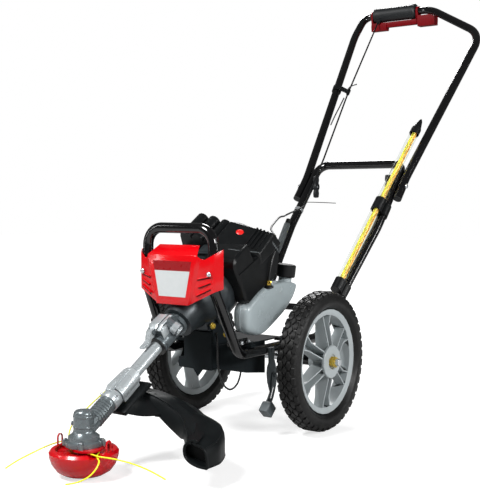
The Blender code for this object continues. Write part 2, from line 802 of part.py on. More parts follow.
def make_engine_mount(machine):
    """Two cheeks on a base that carry the engine's two lugs."""
    base = PAN_DECK_Z + GAP
    cheek = [(-0.2185, 0.2330), (-0.2185, 0.2420), (-0.2135, 0.2475), (-0.2000, 0.2475),
             (-0.1500, 0.2290), (-0.1350, 0.2120), (-0.1350, base), (-0.2050, base), (-0.2050, 0.2330)]
    outer = MOUNT_HALF + MOUNT_SHEET
    mount = plate("engine_mount", [cheek], MOUNT_HALF, outer)
    other = plate("cheek", [cheek], -outer, -MOUNT_HALF)
    floor = block("base", (-outer + 0.0005, -0.2045, base), (outer - 0.0005, -0.1355, base + MOUNT_SHEET))
    place(mount, machine)
    join(mount, place(floor, machine), place(other, machine))
    for y, z in MOUNT_BOLTS.values():
        hole = rod("mount bolt hole", MOUNT_BOLT + GAP, (-0.05, y, z), (0.05, y, z), 10)
        cut(mount, place(hole, machine))
    node(mount, "engine_mount", "pan black", machine)
    for word, (y, z) in MOUNT_BOLTS.items():
        bolt = turned(f"mount_bolt_{word}", [
            (0, 0.0055), (0.0045, 0.0055), (0.0058, 0.0045), (0.0058, 0.0012), (0.0072, 0.001),
            (0.0072, 0), (MOUNT_BOLT, 0), (MOUNT_BOLT, -0.016), (0, -0.016),
        ], steps=12)
        node(bolt, f"mount_bolt_{word}", "yellow zinc", machine, (outer + GAP, y, z), (0, CROSS, 0))


def mount_lug(label, carrier, line, shape, spot):
    """A lug of the engine between the cheeks, with the hole for its bolt."""
    half = MOUNT_HALF - GAP
    join(carrier, place(plate(label, [shape], -half, half), line))
    y, z = spot
    hole = rod("lug hole", MOUNT_BOLT + GAP, (half - 0.020, y, z), (half + 0.01, y, z), 10)
    cut(carrier, place(hole, line.parent))


# Engine, in the frame of the drive line: x, s, t

def make_crankcase(line):
    """Fan housing with the crankcase block behind it and a lug under it."""
    case = turned("crankcase", [
        (0, FAN_END), (FAN_RADIUS - 0.016, FAN_END), (FAN_RADIUS - 0.002, FAN_END - 0.008),
        (FAN_RADIUS, FAN_END - 0.016), (FAN_RADIUS, FAN_START + 0.022),
        (FAN_RADIUS - 0.004, FAN_START + 0.007), (FAN_RADIUS - 0.013, FAN_START), (0, FAN_START),
    ], steps=32)
    place(case, line, rotation=(-CROSS, 0, 0))
    body = block("crank block", (-BLOCK_HALF, FAN_END - 0.002, -0.056),
                 (BLOCK_HALF, BLOCK_END, 0.030))
    join(case, place(bevel(body, 0.006, 1), line))
    mount_lug("rear lug", case, line, [(FAN_START + 0.001, -0.050), (0.418, -0.050), (0.418, -0.090),
                                       (0.408, -0.0985), (FAN_START + 0.001, -0.0985)],
              MOUNT_BOLTS["rear"])
    return node(case, "crankcase", "cast grey", line)


def make_clutch_housing(line):
    """The bell between the coupler and the crankcase, with its mounting lug."""
    bell = turned("clutch_housing", [
        (0, FAN_START - GAP), (0.0575, FAN_START - GAP), (0.0575, FAN_START - 0.006),
        (0.0535, FAN_START - 0.009), (0.046, CLUTCH_START + 0.044), (0.037, CLUTCH_START + 0.022),
        (0.034, CLUTCH_START), (0, CLUTCH_START),
    ], steps=32)
    place(bell, line, rotation=(-CROSS, 0, 0))
    bore = rod("shaft bore", SHAFT_RADIUS + 0.0025, (0, CLUTCH_START - 0.01, 0),
               (0, CLUTCH_START + 0.030, 0), 16)
    cut(bell, place(bore, line))
    mount_lug("front lug", bell, line, [(0.362, -0.028), (0.388, -0.028), (0.388, -0.050),
                                        (0.380, -0.0555), (0.366, -0.0555), (0.362, -0.050)],
              MOUNT_BOLTS["front"])
    return node(bell, "clutch_housing", "cast grey", line)


def make_cylinder(line):
    """The finned barrel under the covers."""
    half = 0.033
    low = 0.030 + GAP
    barrel = block("cylinder", (-half + 0.006, 0.487, low), (half - 0.006, 0.548, 0.062))
    place(barrel, line)
    for k in range(5):
        at = low + 0.004 + k * 0.0062
        fin = block("fin", (-half, 0.481, at), (half, 0.554, at + 0.002))
        join(barrel, place(fin, line))
    return node(barrel, "cylinder", "cast grey", line)


def engine_space(line):
    """Cutters for the room the engine takes up inside the covers."""
    side = BLOCK_HALF + GAP
    room = [
        rod("fan space", FAN_RADIUS + 3 * GAP, (0, FAN_START - 0.02, 0), (0, FAN_END + GAP, 0), 32),
        block("crank space", (-side, FAN_END - 0.005, -0.0575), (side, BLOCK_END + 0.02, 0.030 + GAP)),
        block("cylinder space", (-0.0345, 0.4795, 0.020), (0.0345, 0.5555, 0.064)),
        rod("starter space", RECOIL_RADIUS + 3 * GAP, (0, BLOCK_END - 0.0015, 0), (0, RECOIL_END + 0.03, 0), 32),
    ]
    return [place(tool, line) for tool in room]


def make_covers(line):
    """The two black top covers and the silencer."""
    ridge = []
    for x, t in ((-0.074, 0.0800), (-0.045, 0.0735), (-0.016, 0.0645)):
        ridge.extend(reversed(circle(0.0145, 7, (x, t), math.radians(12), math.radians(168))))
    shape = [(-0.092, 0.060), *ridge, (-GAP, 0.058), (-GAP, 0.030), (-0.030, 0.022), (-0.086, 0.024)]
    cover = fascia("cylinder_cover", [shape], 0.512, 0.588)
    place(cover, line)
    cut(cover, *engine_space(line))
    node(cover, "cylinder_cover", "cover black", line)

    air = block("air_cleaner_cover", (GAP, 0.0, 0.0), (0.099, 1.0, 1.0))
    corners = {
        # near side, rear, top: s and t of each corner
        (0, 0, 0): (0.497, 0.018), (0, 1, 0): (0.590, 0.018),
        (0, 0, 1): (0.494, 0.077), (0, 1, 1): (0.584, 0.079),
        (1, 0, 0): (0.516, 0.010), (1, 1, 0): (0.607, 0.004),
        (1, 0, 1): (0.523, 0.036), (1, 1, 1): (0.595, 0.042),
    }
    for corner in air.data.vertices:
        x, s, t = corner.co
        corner.co.y, corner.co.z = corners[int(x > 0.05), int(s > 0.5), int(t > 0.5)]
    place(bevel(air, 0.005, 2), line)
    lower = plate("side shroud", [[
        (0.434, -0.020), (0.441, -0.0354), (0.480, -0.0354), (0.524, -0.0430), (0.545, -0.0480),
        (0.578, -0.026), (0.604, 0.004), (0.598, 0.030), (0.522, 0.030), (0.440, 0.040),
    ][::-1]], BLOCK_HALF + 0.001, 0.0965)
    front = plate("fan shroud", [[(0.437, 0.010), (0.437, 0.060), (0.450, 0.0735), (0.505, 0.074),
                                  (0.505, 0.010)][::-1]], 0.012, 0.0945)
    well = rod("button well", 0.0088, button_point(-0.004), button_point(0.03), 16)
    join(air, place(bevel(lower, 0.004, 1), line), place(bevel(front, 0.004, 1), line),
         ribbed_top(line))
    cut(air, *engine_space(line), place(well, line))
    node(air, "air_cleaner_cover", "cover black", line)

    can = block("muffler", (-0.096, 0.474, -0.020), (-BLOCK_HALF - 0.0025, 0.5085, 0.056))
    place(bevel(can, 0.008, 1), line)
    pipe_out = rod("port", 0.009, (-BLOCK_HALF - 0.008, 0.492, 0.005),
                   (-BLOCK_HALF - GAP, 0.492, 0.005), 12)
    join(can, place(pipe_out, line))
    node(can, "muffler", "cast grey", line)


def cover_slope():
    """The direction square to the top of the air cleaner cover."""
    along = Vector((0, 0.1, 0.004))
    across = Vector((0.098, 0.014, -0.040))
    return across.cross(along).normalized()


def button_point(rise):
    """The middle of the stop button, this far above the cover."""
    return Vector((0.036, 0.560, 0.0635)) + cover_slope() * rise


def ribbed_top(line):
    """Ribs on the near half of the cover, along the drive line."""
    shape = bmesh.new()
    tilt = Matrix.Rotation(math.atan2(0.006, 0.072), 3, "X")
    for k in range(4):
        x = 0.064 + 0.0080 * k
        made = bmesh.ops.create_cube(shape, size=1.0)["verts"]
        bmesh.ops.scale(shape, vec=(0.0034, 0.060, 0.010), verts=made)
        bmesh.ops.rotate(shape, cent=(0, 0, 0), verts=made, matrix=tilt)
        bmesh.ops.translate(shape, vec=(x, 0.5585, 0.0535 - 0.39 * (x - 0.064) - 0.0025), verts=made)
    return place(from_bmesh(shape, "ribs"), line)


def make_stop_button(line):
    """The oval button, which sinks into its well."""
    button = turned("stop_button", [(0, 0.0022), (0.0055, 0.0020), (0.0085, 0.0005),
                                    (0.0085, -0.0005), (0, -0.0005)], steps=20)
    spot = button_point(0.0008)
    turn = cover_slope().to_track_quat("Z", "Y").to_euler()
    return node(button, "stop_button", "button red", line, spot, turn)


def make_recoil(line):
    """Pull starter housing and its handle."""
    start = BLOCK_END + GAP
    case = turned("recoil_housing", [
        (0, RECOIL_END), (RECOIL_RADIUS - 0.024, RECOIL_END), (RECOIL_RADIUS - 0.006, RECOIL_END - 0.010),
        (RECOIL_RADIUS, RECOIL_END - 0.020), (RECOIL_RADIUS - 0.014, start), (0, start),
    ], steps=32)
    place(case, line, rotation=(-CROSS, 0, 0))
    spout = rod("rope spout", 0.008, (-0.030, RECOIL_END - 0.012, 0.030),
                (-0.030, RECOIL_END + 0.006, 0.030), 16)
    join(case, place(spout, line))
    node(case, "recoil_housing", "cover black", line)
    grip = rod("recoil_grip", 0.007, (-0.055, 0, 0.009), (-0.005 + 0.0, 0, 0.009), 12)
    stem = rod("stem", 0.0055, (-0.030, 0, 0), (-0.030, 0, 0.009), 12)
    place(grip, line)
    grip.data.transform(Matrix.Translation((0.030, 0, 0)))
    stem.data.transform(Matrix.Translation((0.030, 0, 0)))
    spot = (-0.030, RECOIL_END + 0.006 + GAP, 0.030)
    place(grip, line, spot, (-CROSS, 0, 0))
    place(stem, line, spot, (-CROSS, 0, 0))
    join(grip, stem)
    return node(grip, "recoil_grip", "grip black", line)


def make_tank(line):
    """The moulded tank with its neck, cap and fuel line."""
    inner = 0.0585
    outer = 0.100
    tank = plate("fuel_tank", [[
        (0.400, -0.078), (0.437, -0.121), (0.540, -0.131), (0.590, -0.124), (0.618, -0.110),
        (0.578, -0.075), (0.545, -0.058), (0.526, -0.044), (0.480, -0.036), (0.424, -0.036),
    ]], inner, outer)
    place(bevel(tank, 0.008, 2), line)
    seat, axis = cap_line()
    neck = rod("neck", 0.0145, seat - axis * 0.036, seat, 18)
    join(tank, place(neck, line))
    node(tank, "fuel_tank", "tank grey", line)
    lid = turned("fuel_cap", [
        (0, 0.026), (0.019, 0.026), (0.0215, 0.0235), (0.0215, 0.0), (0.0205, -0.002),
        (0.0155, -0.002), (0.0155, GAP), (0, GAP),
    ], steps=24)
    node(lid, "fuel_cap", "cover black", line, seat, axis.to_track_quat("Z", "Y").to_euler())
    route = smooth([(0.0985, 0.516, -0.0430), (0.0992, 0.520, -0.034), (0.1004, 0.532, -0.018),
                    (0.1014, 0.548, -0.004), (0.1016, 0.562, 0.004), (0.1016, 0.572, 0.0080)], 0.010)
    hose = pipe("fuel_line", route, FUEL_LINE_RADIUS)
    return node(hose, "fuel_line", "tyre black", line)


def cap_line():
    """The seat of the fuel cap and the direction of its axis."""
    up = Vector((0, math.sin(BOOM_TILT), math.cos(BOOM_TILT)))
    axis = (up + Vector((0.12, 0.05, 0))).normalized()
    return Vector((0.082, 0.6015, -0.0790)), axis


# Coupler and boom

def make_coupler(line):
    """The cast clamp that holds the boom, with its latch and knob."""
    body = rod("coupler", 0.0195, (0, COUPLER_START, 0), (0, CLUTCH_START - GAP, 0), 22)
    place(body, line)
    hump = plate("clamp block", [[(0.256, 0.006), (0.256, 0.030), (0.268, 0.036), (0.300, 0.034),
                                  (CLUTCH_START - GAP, 0.024), (CLUTCH_START - GAP, 0.0)]],
                 -0.016, 0.014)
    collar = rod("collar", 0.024, (0, CLUTCH_START - 0.009, 0), (0, CLUTCH_START - GAP, 0), 22)
    boss = rod("knob boss", 0.0115, knob_point(-0.010), knob_point(0.020), 20)
    join(body, place(bevel(hump, 0.002, 1), line), place(collar, line), place(boss, line),
         *latch_ears(line))
    bore = rod("boom bore", BOOM_RADIUS + GAP, (0, COUPLER_START - 0.01, 0),
               (0, BOOM_END + 0.001, 0), 22)
    shaft = rod("shaft bore", SHAFT_RADIUS + 0.0025, (0, BOOM_END - 0.01, 0),
                (0, CLUTCH_START + 0.01, 0), 14)
    slot = block("clamp slot", (0.0040, COUPLER_START - 0.01, 0.008), (0.0064, 0.300, 0.05))
    cut(body, place(bore, line), place(shaft, line), place(slot, line))
    node(body, "coupler", "light cast", line)
    knob = rod("coupler_knob", 0.0105, knob_point(0.020 + GAP), knob_point(0.026), 20)
    spot = knob_point(0.0)
    knob.data.transform(Matrix.Translation(-spot))
    node(bevel(knob, 0.0012, 1), "coupler_knob", "light cast", line, spot)
    make_latch(line)


def latch_ears(line):
    """Two ears of the clamp block and the pin between them."""
    x, s, t = LATCH_AT
    shape = [(s - 0.0042, t - 0.0045), (s + 0.0150, t - 0.0060), (s + 0.0150, t + 0.0020),
             (s + 0.0020, t + 0.0045), (s - 0.0030, t + 0.0036)]
    made = [rod("latch pin", LATCH_PIN, (x - 0.0095, s, t), (x + 0.0095, s, t), 10)]
    for side in (1, -1):
        ends = sorted((x + side * (LATCH_HALF + GAP), x + side * (LATCH_HALF + 0.0025)))
        made.append(plate("latch ear", [shape[::-1]], *ends))
    return [place(piece, line) for piece in made]


def knob_point(along):
    """A point on the axis of the clamp knob, which leans out to the near side."""
    return Vector((0.014, 0.287, 0.024)) + Vector((0.7071, 0, -0.7071)) * along


def make_latch(line):
    """The S shaped latch in front of the clamp block, on a pin between two ears."""
    path = [(0.003, -0.0055), (0.006, 0.0005), (0.002, 0.0055), (-0.007, 0.0045), (-0.014, -0.0025),
            (-0.018, -0.0075), (-0.027, -0.0085), (-0.038, -0.0075), (-0.040, -0.0115),
            (-0.031, -0.0145), (-0.017, -0.0145), (-0.011, -0.0095), (-0.003, -0.0100)]
    latch = plate("latch_lever", [path[::-1], circle(LATCH_PIN + GAP, 10)], -LATCH_HALF, LATCH_HALF)
    return node(latch, "latch_lever", "light cast", line, LATCH_AT)


def make_boom(line):
    """The aluminium boom and the shaft that runs in it."""
    tube = as_mesh(pipe("boom_tube", [(0, BOOM_START, 0), (0, BOOM_END, 0)],
                        BOOM_RADIUS, BOOM_WALL, resolution=5))
    node(tube, "boom_tube", "boom silver", line)
    axis = Vector((0, 1, 0))
    pinion = bevel_gear("drive_shaft", PINION_TEETH, pinion_angle(), 0.44, 0.5)
    place(pinion, line, rotation=(-CROSS, 0, 0))
    start = CONE_DISTANCE * math.cos(pinion_angle())
    shaft = rod("shaft", SHAFT_RADIUS, axis * (start - 0.002), axis * (CLUTCH_START + 0.026), 16)
    join(pinion, place(shaft, line))
    node(pinion, "drive_shaft", "bright steel", line)


def pinion_angle():
    """Pitch cone angle of the pinion."""
    shafts = CROSS - BOOM_TILT
    return math.atan2(math.sin(shafts), GEAR_TEETH / PINION_TEETH + math.cos(shafts))


def gear_angle():
    """Pitch cone angle of the gear on the output shaft."""
    return CROSS - BOOM_TILT - pinion_angle()


def bevel_gear(label, teeth, cone, width, phase=0.0):
    """A straight bevel gear about Z, its apex at the origin, drawn in towards the apex."""
    height = CONE_DISTANCE * math.cos(cone)
    pitch = CONE_DISTANCE * math.sin(cone)
    module = 2 * pitch / teeth
    ring = []
    for k in range(teeth):
        for share, rise in ((-0.5, -1.1), (-width / 2, -1.1), (-width / 4, 0.75),
                            (width / 4, 0.75), (width / 2, -1.1)):
            angle = 2 * math.pi * (k + share + phase) / teeth
            radius = pitch + rise * module * math.cos(cone)
            drop = -rise * module * math.sin(cone)
            ring.append((radius * math.cos(angle), radius * math.sin(angle), height + drop))
    shape = bmesh.new()
    outer = [shape.verts.new(point) for point in ring]
    scale = 1 - FACE_WIDTH / CONE_DISTANCE
    inner = [shape.verts.new(Vector(point) * scale) for point in ring]
    back = shape.verts.new((0, 0, height))
    front = shape.verts.new((0, 0, height * scale))
    count = len(ring)
    for k in range(count):
        after = (k + 1) % count
        shape.faces.new((outer[k], outer[after], back))
        shape.faces.new((inner[after], inner[k], front))
        shape.faces.new((outer[after], outer[k], inner[k], inner[after]))
    return from_bmesh(shape, label)


# Head

def make_gearbox(head, line):
    """The right angle gear case with its neck for the boom."""
    base = HEAD_TOP_Z + GAP
    case = turned("gearbox", [
        (0, 0.1200), (0.0150, 0.1200), (0.0178, 0.1172), (0.0190, 0.1130), (0.0190, 0.0850),
        (0.0210, 0.0790), (0.0290, 0.0730), (0.0290, 0.0660), (0.0345, 0.0640), (0.0345, base), (0, base),
    ], steps=22)
    place(case, head)
    neck = turned("neck", [
        (0, 0.098), (0.0172, 0.098), (0.0172, 0.074), (0.0165, 0.073), (0.0165, 0.070),
        (0.0172, 0.069), (0.0172, 0.050), (0.0165, 0.0), (0, 0.0),
    ], steps=20)
    place(neck, line, rotation=(-CROSS, 0, 0))
    lugs = []
    for k in range(4):
        angle = math.radians(35 + 90 * k)
        x = 0.034 * math.cos(angle)
        y = 0.034 * math.sin(angle)
        lugs.append(place(rod("flange lug", 0.0055, (x, y, base), (x, y, 0.066), 8), head))
    plug = rod("grease plug", 0.004, (-0.018, -0.004, 0.094), (-0.0245, -0.0055, 0.094), 8)
    join(case, neck, *lugs, place(plug, head))
    tip = CONE_DISTANCE * math.cos(gear_angle())
    gear_space = rod("gear space", 0.0162, (0, 0, BOOM_HEIGHT + 0.002),
                     (0, 0, BOOM_HEIGHT + tip + 0.0035), 20)
    shaft_space = rod("shaft space", SHAFT_RADIUS + 0.0006, (0, 0, 0.04), (0, 0, BOOM_HEIGHT + 0.01), 16)
    pinion_space = rod("pinion space", BOOM_RADIUS - 0.0012, (0, 0.006, 0), (0, BOOM_START + 0.01, 0), 20)
    socket = rod("boom socket", BOOM_RADIUS + GAP, (0, BOOM_START - GAP, 0), (0, 0.12, 0), 24)
    cut(case, place(gear_space, head), place(shaft_space, head), place(pinion_space, line),
        place(socket, line))
    return node(case, "gearbox", "cast grey", head)


def make_output_gear(head):
    """The bevel gear above the apex and the shaft down into the head."""
    carrier = empty("gear axis", (0, 0, BOOM_HEIGHT), parent=head)
    gear = bevel_gear("output_gear", GEAR_TEETH, gear_angle(), 0.44)
    place(gear, carrier)
    tip = CONE_DISTANCE * math.cos(gear_angle())
    shaft = rod("output shaft", SHAFT_RADIUS, (0, 0, HEAD_DECK_Z - BOOM_HEIGHT - 0.006),
                (0, 0, tip - FACE_WIDTH / 2), 16)
    join(gear, place(shaft, carrier))
    return node(gear, "output_gear", "bright steel", carrier)


def exit_angle():
    """The direction in which the lines cross the head."""
    return math.atan2(-0.0245, 0.0485)


def make_trimmer_head(head):
    """The red bowl with its slotted deck, clamp plate and two eyelets."""
    bowl = turned("trimmer_head", [
        (0, HEAD_DECK_Z), (0.0515, HEAD_DECK_Z), (0.0525, HEAD_RIM_Z), (0.0600, HEAD_RIM_Z),
        (HEAD_RADIUS, HEAD_RIM_Z - 0.005), (0.0635, HEAD_RIM_Z - 0.0125), (0.0590, 0.024),
        (0.0500, 0.0115), (0.0380, 0.0045), (0.0240, 0.0010), (0.0160, 0.0), (0, 0.0),
    ], steps=34)
    place(bowl, head)
    hub = rod("hub", 0.016, (0, 0, HEAD_DECK_Z - 0.002), (0, 0, HEAD_TOP_Z), 20)
    cross = exit_angle()
    arm = as_mesh(outline("clamp plate", [stadium(0.047, 0.026)], HEAD_TOP_Z - HEAD_PLATE_Z))
    lift = (HEAD_TOP_Z + HEAD_PLATE_Z) / 2
    arm.data.transform(Matrix.Translation((0, 0, lift)) @ Matrix.Rotation(cross, 4, "Z"))
    eyes = [place(eyelet(EYELET_ANGLE + turn), head) for turn in (0.0, math.pi)]
    join(bowl, place(hub, head), place(arm, head), *eyes)
    notches = []
    for angle in (cross, cross + math.pi):
        notch = block("exit notch", (0.046, -0.0115, HEAD_DECK_Z), (0.070, 0.0115, HEAD_PLATE_Z - GAP))
        notch.data.transform(Matrix.Rotation(angle, 4, "Z"))
        notches.append(place(notch, head))
    slots = bmesh.new()
    for k in range(DECK_SLOTS):
        made = bmesh.ops.create_cube(slots, size=1.0)["verts"]
        bmesh.ops.scale(slots, vec=(0.014, 0.005, 0.012), verts=made)
        bmesh.ops.translate(slots, vec=(0.0415, 0, HEAD_DECK_Z), verts=made)
        bmesh.ops.rotate(slots, cent=(0, 0, 0), verts=made,
                         matrix=Matrix.Rotation(2 * math.pi * k / DECK_SLOTS + 0.1, 3, "Z"))
    pockets = place(from_bmesh(slots, "deck slots"), head)
    bore = rod("shaft bore", SHAFT_RADIUS + GAP, (0, 0, HEAD_DECK_Z - 0.007), (0, 0, 0.07), 16)
    cut(bowl, *notches, pockets, place(bore, head))
    return node(bowl, "trimmer_head", "head red", head)


def stadium(half_length, half_width):
    """An outline with straight sides and round ends."""
    run = half_length - half_width
    right = circle(half_width, 8, (run, 0), -math.pi / 2, math.pi / 2)
    left = circle(half_width, 8, (-run, 0), math.pi / 2, 3 * math.pi / 2)
    return right + left


def eyelet(angle):
    """A wire loop that stands on the rim of the bowl."""
    wire = 0.0018
    half = 0.0062
    crest = 0.064
    foot = HEAD_DECK_Z - 0.003
    arch = [(half * math.cos(math.radians(a)), 0, crest + half * math.sin(math.radians(a)))
            for a in range(144, 0, -36)]
    loop = as_mesh(pipe("eyelet", [(-half, 0, foot), (-half, 0, crest), *arch, (half, 0, crest),
                                   (half, 0, foot)], wire, resolution=1))
    turn = Matrix.Rotation(angle, 4, "Z") @ Matrix.Translation((EYELET_RADIUS, 0, 0))
    loop.data.transform(turn @ Matrix.Rotation(CROSS, 4, "Z"))
    return loop


def make_lines(head):
    """The two cutting lines, each one held through the head beside the hub."""
    low = HEAD_DECK_Z + LINE_RADIUS + 0.0009
    high = HEAD_PLATE_Z - LINE_RADIUS - 0.0003
    first = [(0.170, 0.028, 0.0140), (0.145, 0.014, 0.0290), (0.112, 0.001, 0.0400),
             (0.084, -0.0165, 0.0475), (0.062, -0.0255, high), (0.040, -0.0225, high),
             (0.015, -0.0205, high), (-0.012, -0.0205, high), (-0.032, -0.004, high),
             (-0.047, 0.017, high), (-0.0600, 0.0270, high), (-0.0740, 0.0220, 0.0480), (-0.0860, -0.0020, 0.0440),
             (-0.0940, -0.0340, 0.0360), (-0.109, -0.060, 0.0240), (-0.130, -0.072, 0.0080)]
    second = [(0.025, -0.071, 0.0045), (0.046, -0.0655, 0.0100), (0.0640, -0.0560, 0.0200),
              (0.0745, -0.0480, 0.0330), (0.0730, -0.0370, 0.0440), (0.0600, -0.0270, low),
              (0.0470, -0.0160, low), (0.0300, 0.0080, low), (0.0120, 0.0195, low),
              (-0.0120, 0.0205, low), (-0.0340, 0.0220, low), (-0.0560, 0.0250, low),
              (-0.0720, 0.0340, 0.0490), (-0.0930, 0.0600, 0.0650), (-0.1010, 0.1200, 0.0950),
              (-0.0990, 0.1880, 0.1280)]
    for name, route in (("line_1", first), ("line_2", second)):
        cord = pipe(name, smooth(route, 0.016), LINE_RADIUS)
        node(cord, name, "line yellow", head)


def make_guard(head, line):
    """Boom clamp, curved debris guard and the line cutter."""
    clamp = rod("guard_bracket", 0.0185, (0, 0.100, 0), (0, 0.158, 0), 24)
    place(clamp, line)
    rib = plate("top rib", [[(0.088, 0.014), (0.088, 0.022), (0.098, 0.026), (0.150, 0.021),
                             (0.158, 0.014)]], -0.006, 0.006)
    foot = block("foot", (-0.012, 0.104, -0.0212), (0.012, 0.154, -0.012))
    bore = rod("boom bore", BOOM_RADIUS + GAP, (0, 0.05, 0), (0, 0.2, 0), 24)
    clear = rod("neck space", 0.0172 + GAP, (0, 0.05, 0), (0, 0.098 + GAP, 0), 24)
    join(clamp, place(rib, line), place(foot, line))
    cut(clamp, place(bore, line), place(clear, line))
    node(clamp, "guard_bracket", "light cast", line)

    rows = []
    for k in range(GUARD_ROWS):
        share = k / (GUARD_ROWS - 1)
        phi = math.radians(-6 + 84 * share)
        reach = min(1.0, max(0.0, (share - 0.50) / 0.25))
        inner = 0.138 + 0.060 * share
        outer = 0.230 + 0.028 * reach * reach * (3 - 2 * reach) - 0.010 * max(0.0, share - 0.9) / 0.1
        crown = 0.141 - 0.059 * share
        shoulder = 0.112 - 0.036 * share ** 2
        section = [(inner - 0.004, crown - 0.016), (inner, crown),
                   ((inner + outer) / 2, (crown + shoulder) / 2 + 0.006),
                   (outer - 0.012, shoulder + 0.002), (outer, shoulder - 0.012), (outer, GUARD_LOW_Z)]
        rows.append([(r * math.sin(phi), r * math.cos(phi), z) for r, z in section])
    shape = bmesh.new()
    grid = [[shape.verts.new(point) for point in row] for row in rows]
    for a, b in zip(grid, grid[1:]):
        for k in range(len(a) - 1):
            shape.faces.new((a[k], b[k], b[k + 1], a[k + 1]))
    shape.faces.new([*reversed(grid[-1])])
    shield = from_bmesh(shape, "debris_guard")
    shell = shield.modifiers.new("wall", "SOLIDIFY")
    shell.thickness = 0.0028
    shell.offset = -1
    shell.use_even_offset = True
    place(shield, head)
    seat = block("guard seat", (-0.016, 0.078, -0.0300), (0.030, 0.165, -0.0215))
    join(shield, place(seat, line))
    node(shield, "debris_guard", "cover black", head)

    knife = block("line_cutter", (-0.001, -0.016, 0), (0.001, 0.016, 0.024))
    turn = math.radians(-30)
    return node(knife, "line_cutter", "bright steel", head,
                (0.2108 * math.sin(-turn), 0.2108 * math.cos(turn), 0.044), (0, 0, turn))


# Upper handle, in the frame of the handle: x, u, n

def handle_path():
    """The bent line of the upper handle; its far side is the longer one."""
    corners = [
        (UPPER_HALF, LEG_END_U, 0), (UPPER_HALF, UPPER_BEND_U, 0),
        (upper_near(BEND_U), BEND_U, 0), (BAR_NEAR_X, BAR_U, 0), (-FAR_TOP_X, BAR_U, 0),
        (-upper_far(FAR_TURN_U), FAR_TURN_U, 0), (-UPPER_HALF, UPPER_BEND_U, 0), (-UPPER_HALF, LEG_END_U, 0),
    ]
    return bent(corners, [0.3, UPPER_BEND, UPPER_BEND, BAR_BEND, 0.25, 0.3], BEND_STEP)


def make_upper_handle(fold):
    """The bent tube from the fold up to the cross bar."""
    tube = as_mesh(pipe("upper_handle", handle_path(), TUBE_RADIUS, TUBE_WALL))
    place(tube, fold)
    for side in (1, -1):
        hole = rod("bolt hole", PIVOT_BOLT_RADIUS + GAP, (side * (UPPER_HALF - 0.016), 0, 0),
                   (side * (UPPER_HALF + 0.02), 0, 0), 10)
        cut(tube, place(hole, fold))
    return node(tube, "upper_handle", "frame black", fold)


def make_grip(fold):
    """The round grip housing over the bar and the bail that hangs under it."""
    length = GRIP_LEFT - GRIP_RIGHT
    bore = TUBE_RADIUS + GAP
    case = turned("grip_housing", [
        (bore, length), (GRIP_RADIUS - 0.004, length), (GRIP_RADIUS, length - 0.004),
        (GRIP_RADIUS, length - 0.018), (GRIP_RADIUS - 0.001, length - 0.020),
        (GRIP_RADIUS - 0.001, 0.024), (GRIP_RADIUS, 0.022), (GRIP_RADIUS, 0.004),
        (GRIP_RADIUS - 0.004, 0), (bore, 0),
    ], steps=24, ring=True)
    place(case, fold, (GRIP_RIGHT, BAR_U, 0), (0, CROSS, 0))
    nose = rod("cable nose", 0.0060, (NOSE_X, BAR_U - 0.016, NOSE_N), (NOSE_X, NOSE_U, NOSE_N), 12)
    join(case, place(nose, fold))
    node(case, "grip_housing", "grip black", fold)

    pivot = empty("bail axis", (0, BAR_U, 0), (-HANDLE_TILT, 0, 0), fold)
    left = GRIP_LEFT + 0.002
    right = GRIP_RIGHT - 0.002
    top = -BAIL_TOP
    low = -BAIL_LOW
    bar = plate("bail_lever", [[(-0.0095, low + 0.008), (-0.007, low), (0.007, low), (0.0095, low + 0.008),
                                (0.008, top), (-0.008, top)]], right - 0.002, left + 0.058)
    place(bar, pivot)
    near = plate("near paddle", [[(-0.014, low + 0.009), (-0.012, low - 0.008), (0.012, low - 0.008),
                                  (0.014, low + 0.009), (0.012, -0.0155), (-0.012, -0.0155)]],
                 left + 0.006, left + 0.062)
    far = plate("far paddle", [[(-0.012, low + 0.006), (-0.010, low - 0.009), (0.010, low - 0.009),
                                (0.012, low + 0.006), (0.010, top), (-0.010, top)]],
                right - 0.006, right + 0.045)
    ears = []
    for low_x, high_x in ((left, left + 0.0065), (right - 0.006, right)):
        ear = [*circle(BAIL_RING, 13, (0, 0), 0, math.pi), (-0.009, low + 0.002), (0.009, low + 0.002)]
        ears.append(place(plate("ear", [ear], low_x, high_x), pivot))
    join(bar, place(near, pivot), place(far, pivot), *ears)
    around = rod("tube clearance", bore + GAP, (right - 0.03, 0, 0), (left + 0.02, 0, 0), 16)
    bend = as_mesh(pipe("handle clearance", handle_path(), TUBE_RADIUS + 4 * GAP))
    cut(bar, place(around, pivot), place(bend, fold))
    return node(bar, "bail_lever", "bail red", pivot)


def make_fold(machine):
    """Bolts and wing knobs of the fold."""
    inner = LOWER_HALF - TUBE_RADIUS
    outer = UPPER_HALF + TUBE_RADIUS + GAP
    tip = inner - KNOB_DEPTH
    for word, side in (("left", 1), ("right", -1)):
        bolt = turned("bolt", [
            (0, outer + 0.0028), (0.005, outer + 0.0022), (0.0068, outer + 0.0010), (0.007, outer),
            (PIVOT_BOLT_RADIUS, outer), (PIVOT_BOLT_RADIUS, tip), (0, tip),
        ], steps=12)
        node(bolt, f"pivot_bolt_{word}", "bright steel", machine, (0, FOLD_Y, FOLD_Z),
             (0, side * CROSS, 0))
        hub = turned("knob", [
            (0, -GAP), (0.0085, -GAP), (0.0085, -0.0040), (0.0115, -0.0050), (0.0115, -KNOB_DEPTH),
            (0, -KNOB_DEPTH),
        ], steps=12)
        wing = as_mesh(outline("wings", [bow_tie()], 0.0070))
        wing.data.transform(Matrix.Translation((0, 0, -0.0085)))
        bore = rod("knob bore", PIVOT_BOLT_RADIUS + GAP, (0, 0, -0.03), (0, 0, 0.01), 10)
        for piece in (hub, wing, bore):
            place(piece, machine, (side * inner, FOLD_Y, FOLD_Z), (0, side * CROSS, 0))
        join(hub, wing)
        cut(hub, bore)
        node(hub, f"knob_{word}", "grip black", machine)


